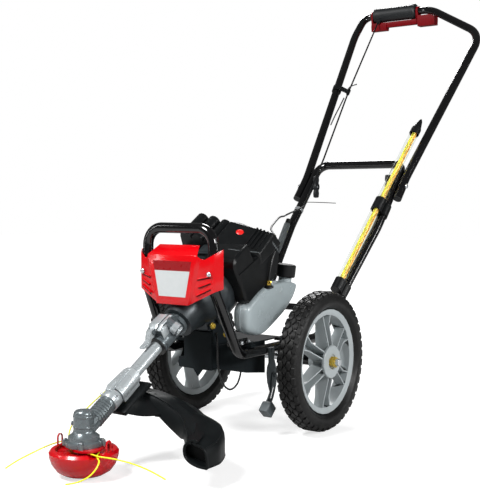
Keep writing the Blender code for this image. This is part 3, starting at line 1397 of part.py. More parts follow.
def bow_tie():
    """The outline of the two wings of a knob."""
    right = [(0.006, -0.007), (0.018, -0.0105), (0.0285, -0.0085), (0.030, 0.0), (0.0285, 0.0085),
             (0.018, 0.0105), (0.006, 0.007)]
    left = [(-x, -y) for x, y in right]
    return right + left


def store_point(u, rise=0.0):
    """A point on the axis of the storage tube."""
    return on_handle(STORE_LOW_X + STORE_SPLAY * (u - STORE_LOW_U), u, STORE_RISE + rise)


def make_storage(machine):
    """The clear tube for spare lines, its two clips and its cap."""
    tube = as_mesh(pipe("storage_tube", [store_point(STORE_LOW_U), store_point(STORE_TOP_U)],
                        STORE_RADIUS, STORE_WALL, resolution=3))
    node(tube, "storage_tube", "clear tube", machine)
    axis = (store_point(STORE_TOP_U) - store_point(STORE_LOW_U)).normalized()
    for word, shift in (("a", 0.0033), ("b", -0.0033)):
        side = Vector((shift, 0, 0))
        rods = rod("spare line", LINE_RADIUS * 1.4, store_point(STORE_LOW_U + 0.004, -SPARE_SINK) + side,
                   store_point(STORE_TOP_U - 0.010, -SPARE_SINK) + side, 8)
        node(rods, f"spare_line_{word}", "line amber" if word == "a" else "line yellow", machine)
    for word, low, high in (("lower", STORE_LOW_U - 0.010, STORE_LOW_U + 0.022),
                            ("upper", -0.105, -0.068)):
        band = rod("band", STORE_RADIUS + GAP + CLIP_WALL, store_point(low), store_point(high), 18)
        saddle = rod("saddle", TUBE_RADIUS + GAP + CLIP_WALL, lower_leg(low), lower_leg(high), 18)
        place(band, machine)
        join(band, place(saddle, machine))
        start = STORE_LOW_U - GAP if word == "lower" else low - 0.01
        hole = rod("tube space", STORE_RADIUS + GAP, store_point(start), store_point(high + 0.01), 18)
        leg = rod("leg space", TUBE_RADIUS + GAP, lower_leg(low - 0.02), lower_leg(high + 0.02), 18)
        cut(band, place(hole, machine), place(leg, machine))
        node(band, f"storage_clamp_{word}", "cover black", machine)
    cap = turned("storage_cap", [
        (0, 0.045), (0.0025, 0.044), (0.0062, 0.036), (0.0114, 0.012), (CAP_RADIUS, 0.0080),
        (CAP_RADIUS, -0.012), (STORE_RADIUS + GAP, -0.012), (STORE_RADIUS + GAP, GAP), (0, GAP),
    ], steps=18)
    return node(cap, "storage_cap", "cover black", machine, store_point(STORE_TOP_U),
                axis.to_track_quat("Z", "Y").to_euler())


def on_line(x, s, t):
    """A point of the drive line in the frame of the machine."""
    c = math.cos(BOOM_TILT)
    k = math.sin(BOOM_TILT)
    return Vector((x, HEAD_Y + s * c - t * k, BOOM_HEIGHT + s * k + t * c))


def make_guide(fold):
    """The clip on the far leg with its eye for the cable."""
    low = GUIDE_U - 0.010
    high = GUIDE_U + 0.010
    ring = rod("cable_guide", TUBE_RADIUS + GAP + 0.0025, (-upper_far(low), low, 0),
               (-upper_far(high), high, 0), 18)
    place(ring, fold)
    eye = Vector(GUIDE_EYE)
    run = Vector((0.080, -0.9965, 0.030)) * 0.009
    edge = TUBE_RADIUS - 0.003 - upper_far(GUIDE_U)
    strap = as_mesh(outline("strap", [[(edge, GUIDE_U + 0.008), (eye.x + 0.002, eye.y + 0.007),
                                       (eye.x + 0.002, eye.y - 0.007), (edge, GUIDE_U - 0.008)]], 0.004))
    strap.data.transform(Matrix.Translation((0, 0, eye.z)))
    tube = rod("eye", CABLE_RADIUS + GAP + 0.0022, eye - run, eye + run, 14)
    join(ring, place(strap, fold), place(tube, fold))
    leg = rod("leg space", TUBE_RADIUS + GAP, (-upper_far(low - 0.03), low - 0.03, 0),
              (-upper_far(high + 0.03), high + 0.03, 0), 20)
    bore = rod("cable space", CABLE_RADIUS + 2 * GAP, eye - run * 2, eye + run * 2, 14)
    cut(ring, place(leg, fold), place(bore, fold))
    return node(ring, "cable_guide", "cover black", fold)


def make_loom(machine):
    """The ribbed sleeve on the far lower leg, with its bore and plain ends."""
    rise = TUBE_RADIUS + LOOM_RADIUS + GAP
    start = mirrored(lower_leg(LOOM_TOP_U, rise))
    end = mirrored(lower_leg(LOOM_LOW_U, rise))
    plain = LOOM_RADIUS * 2 / (end - start).length
    points = [start]
    radii = [LOOM_GROOVE]
    for k in range(2 * LOOM_RIBS + 1):
        points.append(start.lerp(end, plain + (1 - 2 * plain) * k / (2 * LOOM_RIBS)))
        radii.append(1.0 if k % 2 else LOOM_GROOVE)
    loom = as_mesh(pipe("cable_loom", [*points, end], LOOM_RADIUS, radii=[*radii, LOOM_GROOVE]))
    place(loom, machine)
    reach = (end - start).normalized() * 0.01
    cut(loom, place(rod("loom bore", LOOM_BORE, start - reach, end + reach, 10), machine))
    return node(loom, "cable_loom", "tyre black", machine)


def make_cables(machine, fold):
    """Throttle cable and the hose loop under the pan."""
    make_guide(fold)
    eye = Vector(GUIDE_EYE)
    run = Vector((0.080, -0.9965, 0.030)) * 0.012
    corners = [on_handle(NOSE_X, NOSE_U - GAP, NOSE_N), on_handle(*(eye - run)), on_handle(*(eye + run)),
               on_handle(-0.1085, 0.0840, 0.0210), on_handle(-0.0880, -0.1050, 0.0350),
               on_handle(-0.1370, -0.1300, 0.0300)]
    path = bent([*corners, Vector((-0.0742, 0.2000, 0.4470))], [0.06, 0.06, 0.3, 0.020, 0.022], BEND_STEP)
    last = path[-2]
    tail = smooth([path[-3], last, Vector((-0.100, 0.262, 0.4580)), Vector((-0.0742, 0.2000, 0.4470)),
                   Vector((-0.0300, 0.1150, 0.4330)), Vector((0.0350, 0.0350, 0.4190)),
                   on_line(0.080, 0.6012, 0.0360)], 0.016)
    cable = pipe("throttle_cable", [*path[:-2], *tail[1:]], CABLE_RADIUS)
    node(cable, "throttle_cable", "tyre black", machine)
    make_loom(machine)
    cheek = MOUNT_HALF + MOUNT_SHEET + GAP + LEAD_RADIUS
    deck = PAN_DECK_Z - PAN_SHEET - 6 * GAP
    hose = [(cheek, -0.1930, 0.2240), (cheek + 0.002, -0.1990, 0.2220), (0.0500, -0.2080, 0.2120),
            (0.0530, -0.2100, 0.1900), (0.0520, -0.2080, 0.1600), (0.0500, -0.1900, 0.1200),
            (0.0480, -0.1600, 0.1000), (0.0450, -0.1280, 0.1080), (0.0430, -0.1120, 0.1350),
            (0.0420, -0.1090, 0.1650), (0.0420, -0.1090, deck)]
    lead = pipe("engine_lead", smooth(hose, 0.020), LEAD_RADIUS)
    return node(lead, "engine_lead", "tyre black", machine)


# Ground lever

def make_pedal(machine):
    """The notched quadrant on the side of the rail and the foot lever that turns on it."""
    rail_side = rail_half(PEDAL_Y) + TUBE_RADIUS + GAP
    inner = rail_side + 0.0014
    outer = inner + 0.0030
    rim = [(-0.0835, 0.160), (-0.092, 0.166), (-0.103, 0.157), (-0.1095, 0.146), (-0.111, 0.134),
           (-0.1085, 0.114), (-0.100, 0.094), (-0.091, 0.098), (-0.087, 0.105), (-0.081, 0.103),
           (-0.079, 0.113), (-0.0735, 0.114), (-0.0730, 0.126), (-0.0765, 0.138), (-0.079, 0.150)]
    disc = plate("pedal_quadrant", [rim[::-1]], inner, outer)
    tab = plate("tab", [[(-0.101, 0.148), (-0.086, 0.148), (-0.084, 0.187), (-0.103, 0.187)]],
                rail_side, outer - 0.0004)
    head = rod("tab bolt", 0.0050, (outer - 0.001, -0.0935, RAIL_Z), (outer + 0.003, -0.0935, RAIL_Z), 6)
    pin = rod("pin", PEDAL_PIN, (outer - 0.001, PEDAL_Y, PEDAL_Z), (outer + 0.0075, PEDAL_Y, PEDAL_Z), 14)
    place(disc, machine)
    join(disc, *[place(tool, machine) for tool in (tab, head, pin)])
    node(disc, "pedal_quadrant", "pad grey", machine)

    arm_shape = [(-0.0975, 0.1250), (-0.0950, 0.1330), (-0.0895, 0.1350), (-0.0830, 0.1325),
                 (-0.0805, 0.1265), (-0.0815, 0.1060), (-0.0915, 0.0820), (-0.1010, 0.0680),
                 (-0.1170, 0.0600), (-0.1240, 0.0700), (-0.1130, 0.0810), (-0.1010, 0.0990)]
    slot = [(-0.0900, 0.1060), (-0.0890, 0.1000), (-0.0985, 0.0790), (-0.1040, 0.0755),
            (-0.1050, 0.0790), (-0.0950, 0.1010)]
    pivot = Vector((outer + GAP, PEDAL_Y, PEDAL_Z))

    def local(points):
        return [(y - PEDAL_Y, z - PEDAL_Z) for y, z in points]

    arm = plate("foot_pedal", [local(arm_shape)[::-1], local(slot)], 0, 0.0035)
    pad = plate("pad", [local([(-0.1420, 0.0600), (-0.1220, 0.0420), (-0.1030, 0.0600), (-0.1180, 0.0760),
                               (-0.1260, 0.0760)])], -0.004, 0.018)
    hole = rod("pin hole", PEDAL_PIN + GAP, (-0.01, 0, 0), (0.02, 0, 0), 14)
    for piece in (arm, pad, hole):
        place(piece, machine, pivot)
    join(arm, bevel(pad, 0.0015, 1))
    cut(arm, hole)
    return node(arm, "foot_pedal", "pad grey", machine)


def build():
    """Build the whole machine."""
    start_scene()
    machine = empty("machine", (MID_X, AXLE_Y, 0))
    line = empty("drive line", (0, HEAD_Y, BOOM_HEIGHT), (BOOM_TILT, 0, 0), machine)
    head = empty("head axis", (0, HEAD_Y, 0), parent=machine)
    fold = empty("fold axis", (0, FOLD_Y, FOLD_Z), (HANDLE_TILT, 0, 0), machine)
    make_wheels(machine)
    make_frame_tube(machine)
    make_lower_handle(machine)
    make_pan(machine)
    make_front_guard(machine)
    make_engine_mount(machine)
    make_crankcase(line)
    make_clutch_housing(line)
    make_cylinder(line)
    make_covers(line)
    make_stop_button(line)
    make_recoil(line)
    make_tank(line)
    make_coupler(line)
    make_boom(line)
    make_gearbox(head, line)
    make_output_gear(head)
    make_trimmer_head(head)
    make_lines(head)
    make_guard(head, line)
    make_upper_handle(fold)
    make_grip(fold)
    make_fold(machine)
    make_storage(machine)
    make_cables(machine, fold)
    make_pedal(machine)


build()
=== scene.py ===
"""Looks of a two-wheeled string trimmer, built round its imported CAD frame.

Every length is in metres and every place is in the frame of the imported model. The visible pieces
ride on the bodies of the CAD model; the tubes, tyres, cables and lines are made anew, and the other
pieces are softened copies of the CAD solids.
"""
import logging
import math
from collections.abc import Iterable, Sequence
from dataclasses import dataclass
from enum import Enum

import bmesh
import bpy
from bpy.types import Node, NodeSocket, NodeTree, Object
from mathutils import Matrix, Vector


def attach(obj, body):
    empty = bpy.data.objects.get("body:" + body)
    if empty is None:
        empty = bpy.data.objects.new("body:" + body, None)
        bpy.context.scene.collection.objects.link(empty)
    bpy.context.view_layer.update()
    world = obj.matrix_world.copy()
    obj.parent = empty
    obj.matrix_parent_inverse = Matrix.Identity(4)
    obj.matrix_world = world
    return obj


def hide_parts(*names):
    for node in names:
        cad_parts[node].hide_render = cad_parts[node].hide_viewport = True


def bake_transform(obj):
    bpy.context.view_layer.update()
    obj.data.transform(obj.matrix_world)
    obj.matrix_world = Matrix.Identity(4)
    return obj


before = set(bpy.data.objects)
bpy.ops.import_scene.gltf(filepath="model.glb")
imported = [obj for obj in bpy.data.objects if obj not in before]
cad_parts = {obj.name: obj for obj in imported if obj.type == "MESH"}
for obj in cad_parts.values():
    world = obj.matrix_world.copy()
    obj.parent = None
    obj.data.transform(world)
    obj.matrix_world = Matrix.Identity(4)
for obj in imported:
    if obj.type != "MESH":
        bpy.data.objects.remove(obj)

LOG = logging.getLogger("trimmer")
MILLIMETRE = 0.001
TENTHS_PER_METRE = 10000
# Edges sharper than this many degrees stay sharp, where a piece doesn't say otherwise
CREASE = 34.0
FULL_TURN = 2 * math.pi
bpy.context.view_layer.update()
Point = Sequence[float]
Outline = Sequence[tuple[float, float]]


# Colour and node helpers


def linear(code: str) -> tuple[float, float, float, float]:
    """Turn an sRGB hex value into a linear colour.

    Args:
        code: The colour as "#rrggbb".

    Returns:
        Linear red, green, blue and an alpha of one.
    """
    parts = [int(code[k:k + 2], 16) / 255 for k in (1, 3, 5)]
    parts = [c / 12.92 if c <= 0.04045 else ((c + 0.055) / 1.055) ** 2.4 for c in parts]
    return (parts[0], parts[1], parts[2], 1.0)


def feed(tree: NodeTree, node: Node, inputs: dict) -> None:
    """Link or set inputs of a node.

    Args:
        tree: The node's tree.
        node: The node.
        inputs: For each input, by name or index, a socket to link or a value to set.
    """
    for key, value in inputs.items():
        if isinstance(value, NodeSocket):
            tree.links.new(value, node.inputs[key])
        else:
            node.inputs[key].default_value = value


def add(tree: NodeTree, kind: str, inputs: dict | None = None, **settings) -> Node:
    """Add one node to a tree.

    Args:
        tree: The tree that gets the node.
        kind: The node's class name.
        inputs: What its inputs are linked or set to.
        **settings: Properties of the node itself.

    Returns:
        The new node.
    """
    node = tree.nodes.new(kind)
    for key, value in settings.items():
        setattr(node, key, value)
    feed(tree, node, inputs or {})
    return node


def noise(tree: NodeTree, place: NodeSocket, scale: float, detail: float, **more: float) -> NodeSocket:
    """The value of a noise texture, with more of its inputs by name."""
    inputs = {"Vector": place, "Scale": scale, "Detail": detail, **more}
    return add(tree, "ShaderNodeTexNoise", inputs).outputs[0]


def ranged(tree: NodeTree, value: NodeSocket, start: float, end: float, low: float, high: float) -> NodeSocket:
    """Map a value so that start becomes low and end becomes high."""
    limits = {"From Min": start, "From Max": end, "To Min": low, "To Max": high}
    return add(tree, "ShaderNodeMapRange", {"Value": value, **limits}).outputs[0]


def mixed(tree: NodeTree, share: NodeSocket, first: object, second: object) -> NodeSocket:
    """Mix two colours, each of which is a value or a socket."""
    return add(tree, "ShaderNodeMix", {0: share, 6: first, 7: second}, data_type="RGBA").outputs[2]


def math_node(tree: NodeTree, operation: str, first: object, second: object) -> NodeSocket:
    """The result of a sum, product or the like of two values or sockets."""
    return add(tree, "ShaderNodeMath", {0: first, 1: second}, operation=operation).outputs[0]


def per_metre(millimetres: float) -> float:
    """The texture scale at which one feature is this many millimetres across."""
    return 1.0 / (millimetres * MILLIMETRE)


# Finishes


class Grain(Enum):
    """How the surface of a finish was made, which sets the form of its fine relief."""

    ORANGE_PEEL = "sprayed or powder coated, with long shallow waves"
    MOULDED = "spark eroded mould grain"
    CAST = "die cast, with small pits"
    BRUSHED = "drawn or turned, with fine lines"


@dataclass(frozen=True)
class Finish:
    """What all finishes share.

    Attributes:
        name: The name of the real material.
        colour: Main colour as an sRGB hex value.
        shade: Second colour, which the first wanders towards.
        roughness: Middle of the roughness range.
        spread: Half the range that the roughness wanders over.
        patch_mm: Size of the patches of colour and roughness.
        grain: The form of the fine relief.
        grain_mm: Size of one feature of the relief.
        relief: Height of the relief, as the Bump node's strength.
        metallic: One for bare metal.
        coat: Weight of a clear coat.
        specular: Level of the reflection of a finish that isn't metal.
    """

    name: str
    colour: str
    shade: str
    roughness: float
    spread: float = 0.05
    patch_mm: float = 18.0
    grain: Grain = Grain.MOULDED
    grain_mm: float = 0.8
    relief: float = 0.1
    metallic: float = 0.0
    coat: float = 0.0
    specular: float = 0.5

    def relief_height(self, tree: NodeTree, place: NodeSocket) -> NodeSocket:
        """Build the height pattern of the relief.

        Args:
            tree: The material's tree.
            place: Object coordinates.

        Returns:
            The socket that gives the height.
        """
        scale = per_metre(self.grain_mm)
        if self.grain is Grain.CAST:
            pits = add(tree, "ShaderNodeTexVoronoi", {"Vector": place, "Scale": scale}, feature="SMOOTH_F1")
            return math_node(tree, "ADD", pits.outputs["Distance"], noise(tree, place, scale * 0.6, 3.0))
        if self.grain is Grain.BRUSHED:
            drawn = add(tree, "ShaderNodeMapping", {"Vector": place, "Scale": (1.0, 0.04, 0.04)})
            return noise(tree, drawn.outputs[0], scale, 2.0)
        return noise(tree, place, scale, 0.5 if self.grain is Grain.ORANGE_PEEL else 4.0)

    def dress(self, tree: NodeTree, shader: Node, place: NodeSocket) -> None:
        """Add what only this finish has; the plain finish adds nothing."""

    def veil(self, tree: NodeTree, shader: Node, amount: NodeSocket, code: str) -> None:
        """Lay an sRGB colour over the base colour."""
        under = shader.inputs["Base Color"].links[0].from_socket
        feed(tree, shader, {"Base Color": mixed(tree, amount, under, linear(code))})

    def material(self) -> bpy.types.Material:
        """Give the material of this finish, made on its first use.

        Returns:
            The Blender material.
        """
        made = bpy.data.materials.get(self.name)
        if made is not None:
            return made
        made = bpy.data.materials.new(self.name)
        made.use_nodes = True
        tree = made.node_tree
        shader = tree.nodes["Principled BSDF"]
        place = add(tree, "ShaderNodeTexCoord").outputs["Object"]
        patches = noise(tree, place, per_metre(self.patch_mm), 5.0, Roughness=0.6)
        bump = add(tree, "ShaderNodeBump", {"Height": self.relief_height(tree, place),
                                            "Strength": self.relief, "Distance": 0.0004})
        feed(tree, shader, {
            "Base Color": mixed(tree, patches, linear(self.colour), linear(self.shade)),
            "Roughness": ranged(tree, patches, 0.3, 0.7, self.roughness - self.spread,
                                self.roughness + self.spread),
            "Normal": bump.outputs[0], "Metallic": self.metallic, "Coat Weight": self.coat,
            "Coat Roughness": 0.08, "Specular IOR Level": self.specular})
        self.dress(tree, shader, place)
        return made


@dataclass(frozen=True)
class Rubber(Finish):
    """Vulcanised rubber, dull, with dust that gathers in its hollows.

    Attributes:
        dust: Colour of the dust.
    """

    dust: str = "#3a3937"

    def dress(self, tree: NodeTree, shader: Node, place: NodeSocket) -> None:
        """Lay faint dust over the rubber in small specks."""
        specks = noise(tree, place, per_metre(6.0), 6.0)
        self.veil(tree, shader, ranged(tree, specks, 0.52, 0.75, 0.0, 0.55), self.dust)


@dataclass(frozen=True)
class ClearPlastic(Finish):
    """Clear or milky plastic that lets light through.

    Attributes:
        clearness: Share of the light that passes.
        index: Index of refraction.
    """

    clearness: float = 0.8
    index: float = 1.49

    def dress(self, tree: NodeTree, shader: Node, place: NodeSocket) -> None:
        """Let light pass through the plastic."""
        feed(tree, shader, {"Transmission Weight": self.clearness, "IOR": self.index})


@dataclass(frozen=True)
class Stained(Finish):
    """A finish that a second material shows through in streaks, such as a yellow chromate film.

    Attributes:
        streak: Colour of the streaks.
        streak_mm: Size of the streaks.
    """

    streak: str = "#ffffff"
    streak_mm: float = 5.0

    def dress(self, tree: NodeTree, shader: Node, place: NodeSocket) -> None:
        """Mix the streaks over the base colour."""
        waves = noise(tree, place, per_metre(self.streak_mm), 3.0, Distortion=1.5)
        self.veil(tree, shader, ranged(tree, waves, 0.45, 0.7, 0.0, 0.8), self.streak)


# Gloss powder coat on steel tube: deep black with sharp window highlights
TUBE_COAT = Finish("powder_coated_steel_tube", "#070708", "#0c0c0d", 0.12, 0.03, 30, Grain.ORANGE_PEEL, 2.5,
                   0.05, coat=0.3)
# Satin powder coat on pressed sheet: softer and a little greyer
PAN_COAT = Finish("powder_coated_sheet", "#181c1e", "#1f2426", 0.5, 0.05, 25, Grain.ORANGE_PEEL, 1.6, 0.06,
                  specular=0.05)
# Stoved red enamel: even, very glossy
RED_ENAMEL = Finish("red_stoving_enamel", "#d2000c", "#be0009", 0.2, 0.03, 40, Grain.ORANGE_PEEL, 2.2, 0.04,
                    coat=0.3, specular=0.4)
# Glossy injection moulded nylon of the cutting head
HEAD_NYLON = Finish("red_moulded_nylon", "#c8000d", "#b0000b", 0.25, 0.04, 26, Grain.MOULDED, 0.9, 0.06,
                    coat=0.2, specular=0.4)
# Dark red glass filled nylon of the throttle bail, dull sheen
BAIL_NYLON = Finish("dark_red_nylon", "#720009", "#5a0007", 0.42, 0.06, 12, Grain.MOULDED, 0.7, 0.1,
                    specular=0.12)
# Bright red switch cap
BUTTON_ABS = Finish("red_switch_abs", "#e61a16", "#cd1411", 0.35, 0.04, 6, Grain.MOULDED, 0.5, 0.1)
# Black glass filled nylon of the engine covers: fine grain and broad soft highlights
COVER_NYLON = Finish("black_moulded_nylon", "#090a0b", "#0f1112", 0.33, 0.05, 22, Grain.MOULDED, 0.8, 0.08,
                     specular=0.28)
# The tougher black of the debris guard, with hardly any shine
GUARD_NYLON = Finish("black_impact_nylon", "#0b0d0e", "#131617", 0.4, 0.05, 26, Grain.MOULDED, 0.9, 0.08,
                     specular=0.1)
# Lighter grey for the covers' raised edges and the sleeve's ribs: a painted highlight
PAINTED_HIGHLIGHT_NYLON = Finish("painted_highlight_grey_nylon", "#53585a", "#63686a", 0.22, 0.05, 9, Grain.MOULDED, 0.8, 0.03,
                    coat=0.3)
# Soft touch black of the grip and knobs
GRIP_RUBBER = Finish("soft_touch_grip", "#101214", "#171a1c", 0.46, 0.07, 12, Grain.MOULDED, 0.9, 0.3,
                     specular=0.35)
# Grey polypropylene of the wheels, satin, with cloudy flow marks
WHEEL_PLASTIC = Finish("grey_polypropylene", "#a4abad", "#959c9e", 0.36, 0.05, 36, Grain.MOULDED, 0.8, 0.08)
# Blow moulded polyethylene of the tank: milky, darker where fuel stands behind it
TANK_PE = ClearPlastic("blown_polyethylene", "#b3bec1", "#929da0", 0.26, 0.04, 60, Grain.MOULDED, 1.2, 0.08,
                       clearness=0.1, index=1.5)
# Die cast aluminium of the crankcase, dull, and painted darker than the gear case as painted shade
SHADED_ENGINE_CAST = Finish("painted_shade_engine_aluminium", "#272c2f", "#373d40", 0.4, 0.06, 16, Grain.CAST, 1.4, 0.08,
                     metallic=0.45)
# Die cast aluminium of the gear case, grey and slightly pitted
CAST_GREY = Finish("cast_aluminium", "#646c6f", "#727a7d", 0.27, 0.04, 30, Grain.CAST, 1.6, 0.025,
                   metallic=0.5)
# The same casting, darkened all over: painted shade, used for the coupler's body
CAST_DARK = Finish("painted_shade_coupler_aluminium", "#5c6467", "#6e767a", 0.28, 0.05, 18, Grain.CAST, 1.6, 0.03,
                   metallic=0.5)
# Tumbled die cast aluminium of the coupler and clamps, lighter and shinier
CAST_LIGHT = Finish("tumbled_cast_aluminium", "#aab1b4", "#bec4c6", 0.27, 0.04, 40, Grain.CAST, 1.6, 0.015,
                    metallic=0.5)
# Drawn and clear anodised tube of the boom
BOOM_ALLOY = Finish("anodised_aluminium_tube", "#a3aaad", "#b5bbbd", 0.27, 0.03, 60, Grain.BRUSHED, 0.6, 0.02,
                    metallic=0.5)
# Turned mild steel
BRIGHT_STEEL = Finish("turned_steel", "#c4c8cb", "#d5d9dc", 0.24, 0.06, 8, Grain.BRUSHED, 0.5, 0.15,
                      metallic=0.8)
# Zinc plate with a yellow chromate film, which wanders between gold and green
YELLOW_ZINC = Stained("yellow_chromated_zinc", "#e0bb45", "#c79d33", 0.28, 0.07, 5, Grain.BRUSHED, 0.6, 0.12,
                      metallic=0.6, streak="#c4c164", streak_mm=4.0)
# Brass of the tank fitting
BRASS = Finish("turned_brass", "#d9b950", "#c09c3c", 0.25, 0.05, 5, Grain.BRUSHED, 0.5, 0.1, metallic=0.7)
# Dark grey coat of the ground lever
LEVER_COAT = Finish("grey_powder_coat", "#565d60", "#4a5053", 0.45, 0.08, 14, Grain.ORANGE_PEEL, 1.4, 0.2)
# Clear extruded acrylic tube
CLEAR_TUBE = ClearPlastic("extruded_acrylic", "#f8faf7", "#f2f5ef", 0.05, 0.02, 20, Grain.ORANGE_PEEL, 6.0,
                          0.03, clearness=1.0, index=1.1)
# Extruded nylon cutting line: bright yellow and faintly waxy
LINE_YELLOW = Finish("yellow_nylon_line", "#f4f52a", "#e8ea1c", 0.35, 0.04, 40, Grain.BRUSHED, 0.8, 0.01)
# Older line of the same nylon, a warm straw yellow
LINE_STRAW = Finish("straw_nylon_line", "#ecd67a", "#e2c45f", 0.35, 0.04, 60, Grain.BRUSHED, 0.8, 0.01)
# The same line in amber
LINE_AMBER = Finish("amber_nylon_line", "#d98628", "#c9741c", 0.35, 0.04, 60, Grain.BRUSHED, 0.8, 0.01)
# Natural and synthetic rubber of the tyres
TYRE_RUBBER = Rubber("tyre_rubber", "#070707", "#0d0d0d", 0.46, 0.08, 16, Grain.MOULDED, 1.1, 0.3, specular=0.3,
                     dust="#1b1b1a")
# PVC jacket of the cables and hoses
CABLE_PVC = Finish("cable_pvc", "#0b0c0d", "#131415", 0.34, 0.06, 10, Grain.MOULDED, 0.8, 0.1)
# Braided nylon rope of the pull starter
STARTER_CORD = Finish("braided_starter_cord", "#1b1d20", "#34373b", 0.5, 0.06, 3, Grain.BRUSHED, 0.5, 0.2)
# Dark inside of slots and vents
SHADOW = Finish("unlit_cavity_coat", "#040404", "#070707", 0.8, 0.05, 8, Grain.MOULDED, 1.0, 0.1, specular=0.1)
# Blank white polyester label stock
LABEL = Finish("blank_polyester_label", "#c3c7c7", "#b9bdbe", 0.35, 0.05, 9, Grain.MOULDED, 0.7, 0.05)
# Blank label stock in a deep red
LABEL_RED = Finish("blank_red_label", "#8f0009", "#820008", 0.3, 0.05, 9, Grain.MOULDED, 0.7, 0.05)


# Mesh helpers


def linked(name: str, data: bpy.types.ID) -> Object:
    """Put a new object into the scene.

    Args:
        name: Its name.
        data: Its mesh, curve, lamp or camera.

    Returns:
        The object.
    """
    made = bpy.data.objects.new(name, data)
    bpy.context.scene.collection.objects.link(made)
    return made


def poured(shape: bmesh.types.BMesh, name: str, materials: Sequence[bpy.types.Material] = ()) -> Object:
    """Make an object of a bmesh as it is.

    Args:
        shape: The mesh, which is freed.
        name: Name of the object.
        materials: Its materials.

    Returns:
        The object.
    """
    mesh = bpy.data.meshes.new(name)
    shape.to_mesh(mesh)
    shape.free()
    for material in materials:
        mesh.materials.append(material)
    return linked(name, mesh)


def smoothed(obj: Object, crease: float = CREASE) -> Object:
    """Shade an object smoothly.

    Args:
        obj: The object.
        crease: Edges sharper than this many degrees stay sharp.

    Returns:
        The same object.
    """
    obj.data.polygons.foreach_set("use_smooth", [True] * len(obj.data.polygons))
    obj.data.set_sharp_from_angle(angle=math.radians(crease))
    return obj


def modify(obj: Object, title: str, kind: str, **settings) -> None:
    """Add a modifier to an object.

    Args:
        obj: The object.
        title: Name of the modifier.
        kind: Its type.
        **settings: Its settings.
    """
    modifier = obj.modifiers.new(title, kind)
    for key, value in settings.items():
        setattr(modifier, key, value)


def fresh_mesh(obj: Object, crease: float = CREASE) -> Object:
    """Turn an object with modifiers into a plain mesh object of the same name.

    Args:
        obj: A mesh or curve object.
        crease: Edges sharper than this many degrees stay sharp.

    Returns:
        The plain object, at the origin and unturned.
    """
    name = obj.name
    graph = bpy.context.evaluated_depsgraph_get()
    mesh = bpy.data.meshes.new_from_object(obj.evaluated_get(graph), depsgraph=graph)
    mesh.transform(obj.matrix_world)
    bpy.data.objects.remove(obj)
    mesh.name = name
    return smoothed(linked(name, mesh), crease)


def from_bmesh(shape: bmesh.types.BMesh, name: str, finish: Finish, crease: float = CREASE) -> Object:
    """Make a smooth object of a bmesh, with its normals turned outwards."""
    bmesh.ops.recalc_face_normals(shape, faces=shape.faces)
    return smoothed(poured(shape, name, [finish.material()]), crease)


def joined(name: str, pieces: Iterable[Object]) -> Object:
    """Join plain mesh objects into one, each with its own material slot.

    Args:
        name: Name of the result.
        pieces: The objects, which are removed.

    Returns:
        The joined object.
    """
    shape = bmesh.new()
    materials: list[bpy.types.Material] = []
    for piece in list(pieces):
        material = piece.data.materials[0]
        if material not in materials:
            materials.append(material)
        before = len(shape.faces)
        piece.data.transform(piece.matrix_world)
        shape.from_mesh(piece.data)
        shape.faces.ensure_lookup_table()
        for face in shape.faces[before:]:
            face.material_index = materials.index(material)
        bpy.data.objects.remove(piece)
    return poured(shape, name, materials)


def softened(node: str, finish: Finish, width: float = 0.0005, crease: float = 38.0) -> Object:
    """Copy a CAD node, merge its loose triangles and round its edges.

    Args:
        node: Name of the CAD node.
        finish: The copy's finish.
        width: Width of the rounded edges; zero leaves them sharp.
        crease: Only edges sharper than this many degrees are rounded.

    Returns:
        The copy, which doesn't ride on anything yet.
    """
    shape = bmesh.new()
    shape.from_mesh(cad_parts[node].data)
    bmesh.ops.remove_doubles(shape, verts=shape.verts, dist=0.00002)
    bmesh.ops.dissolve_limit(shape, angle_limit=math.radians(0.5), verts=shape.verts, edges=shape.edges)
    made = poured(shape, node + "_looks", [finish.material()])
    made.data.polygons.foreach_set("use_smooth", [True] * len(made.data.polygons))
    if width:
        modify(made, "rounded edges", "BEVEL", width=width, segments=2, limit_method="ANGLE",
               angle_limit=math.radians(crease), use_clamp_overlap=True, harden_normals=False)
        modify(made, "even normals", "WEIGHTED_NORMAL", keep_sharp=True)
    return fresh_mesh(made, crease)


def loft(shape: bmesh.types.BMesh, rings: Iterable[Iterable[Point]]) -> None:
    """Join rings with the same number of points, and close the first and the last.

    Args:
        shape: The mesh that gets the faces.
        rings: The points of each ring.
    """
    knots = [[shape.verts.new(point) for point in ring] for ring in rings]
    shape.faces.new(knots[0])
    shape.faces.new(knots[-1])
    for low, high in zip(knots, knots[1:]):
        for k in range(len(low)):
            j = (k + 1) % len(low)
            shape.faces.new((low[k], low[j], high[j], high[k]))


def net(shape: bmesh.types.BMesh, rows: Iterable[Iterable[Point]]) -> list[list[bmesh.types.BMVert]]:
    """Join rows with the same number of points to an open sheet.

    Args:
        shape: The mesh that gets the faces.
        rows: The points of each row.

    Returns:
        The vertices of each row.
    """
    knots = [[shape.verts.new(point) for point in row] for row in rows]
    for a, b in zip(knots, knots[1:]):
        for k in range(len(a) - 1):
            shape.faces.new((a[k], b[k], b[k + 1], a[k + 1]))
    return knots


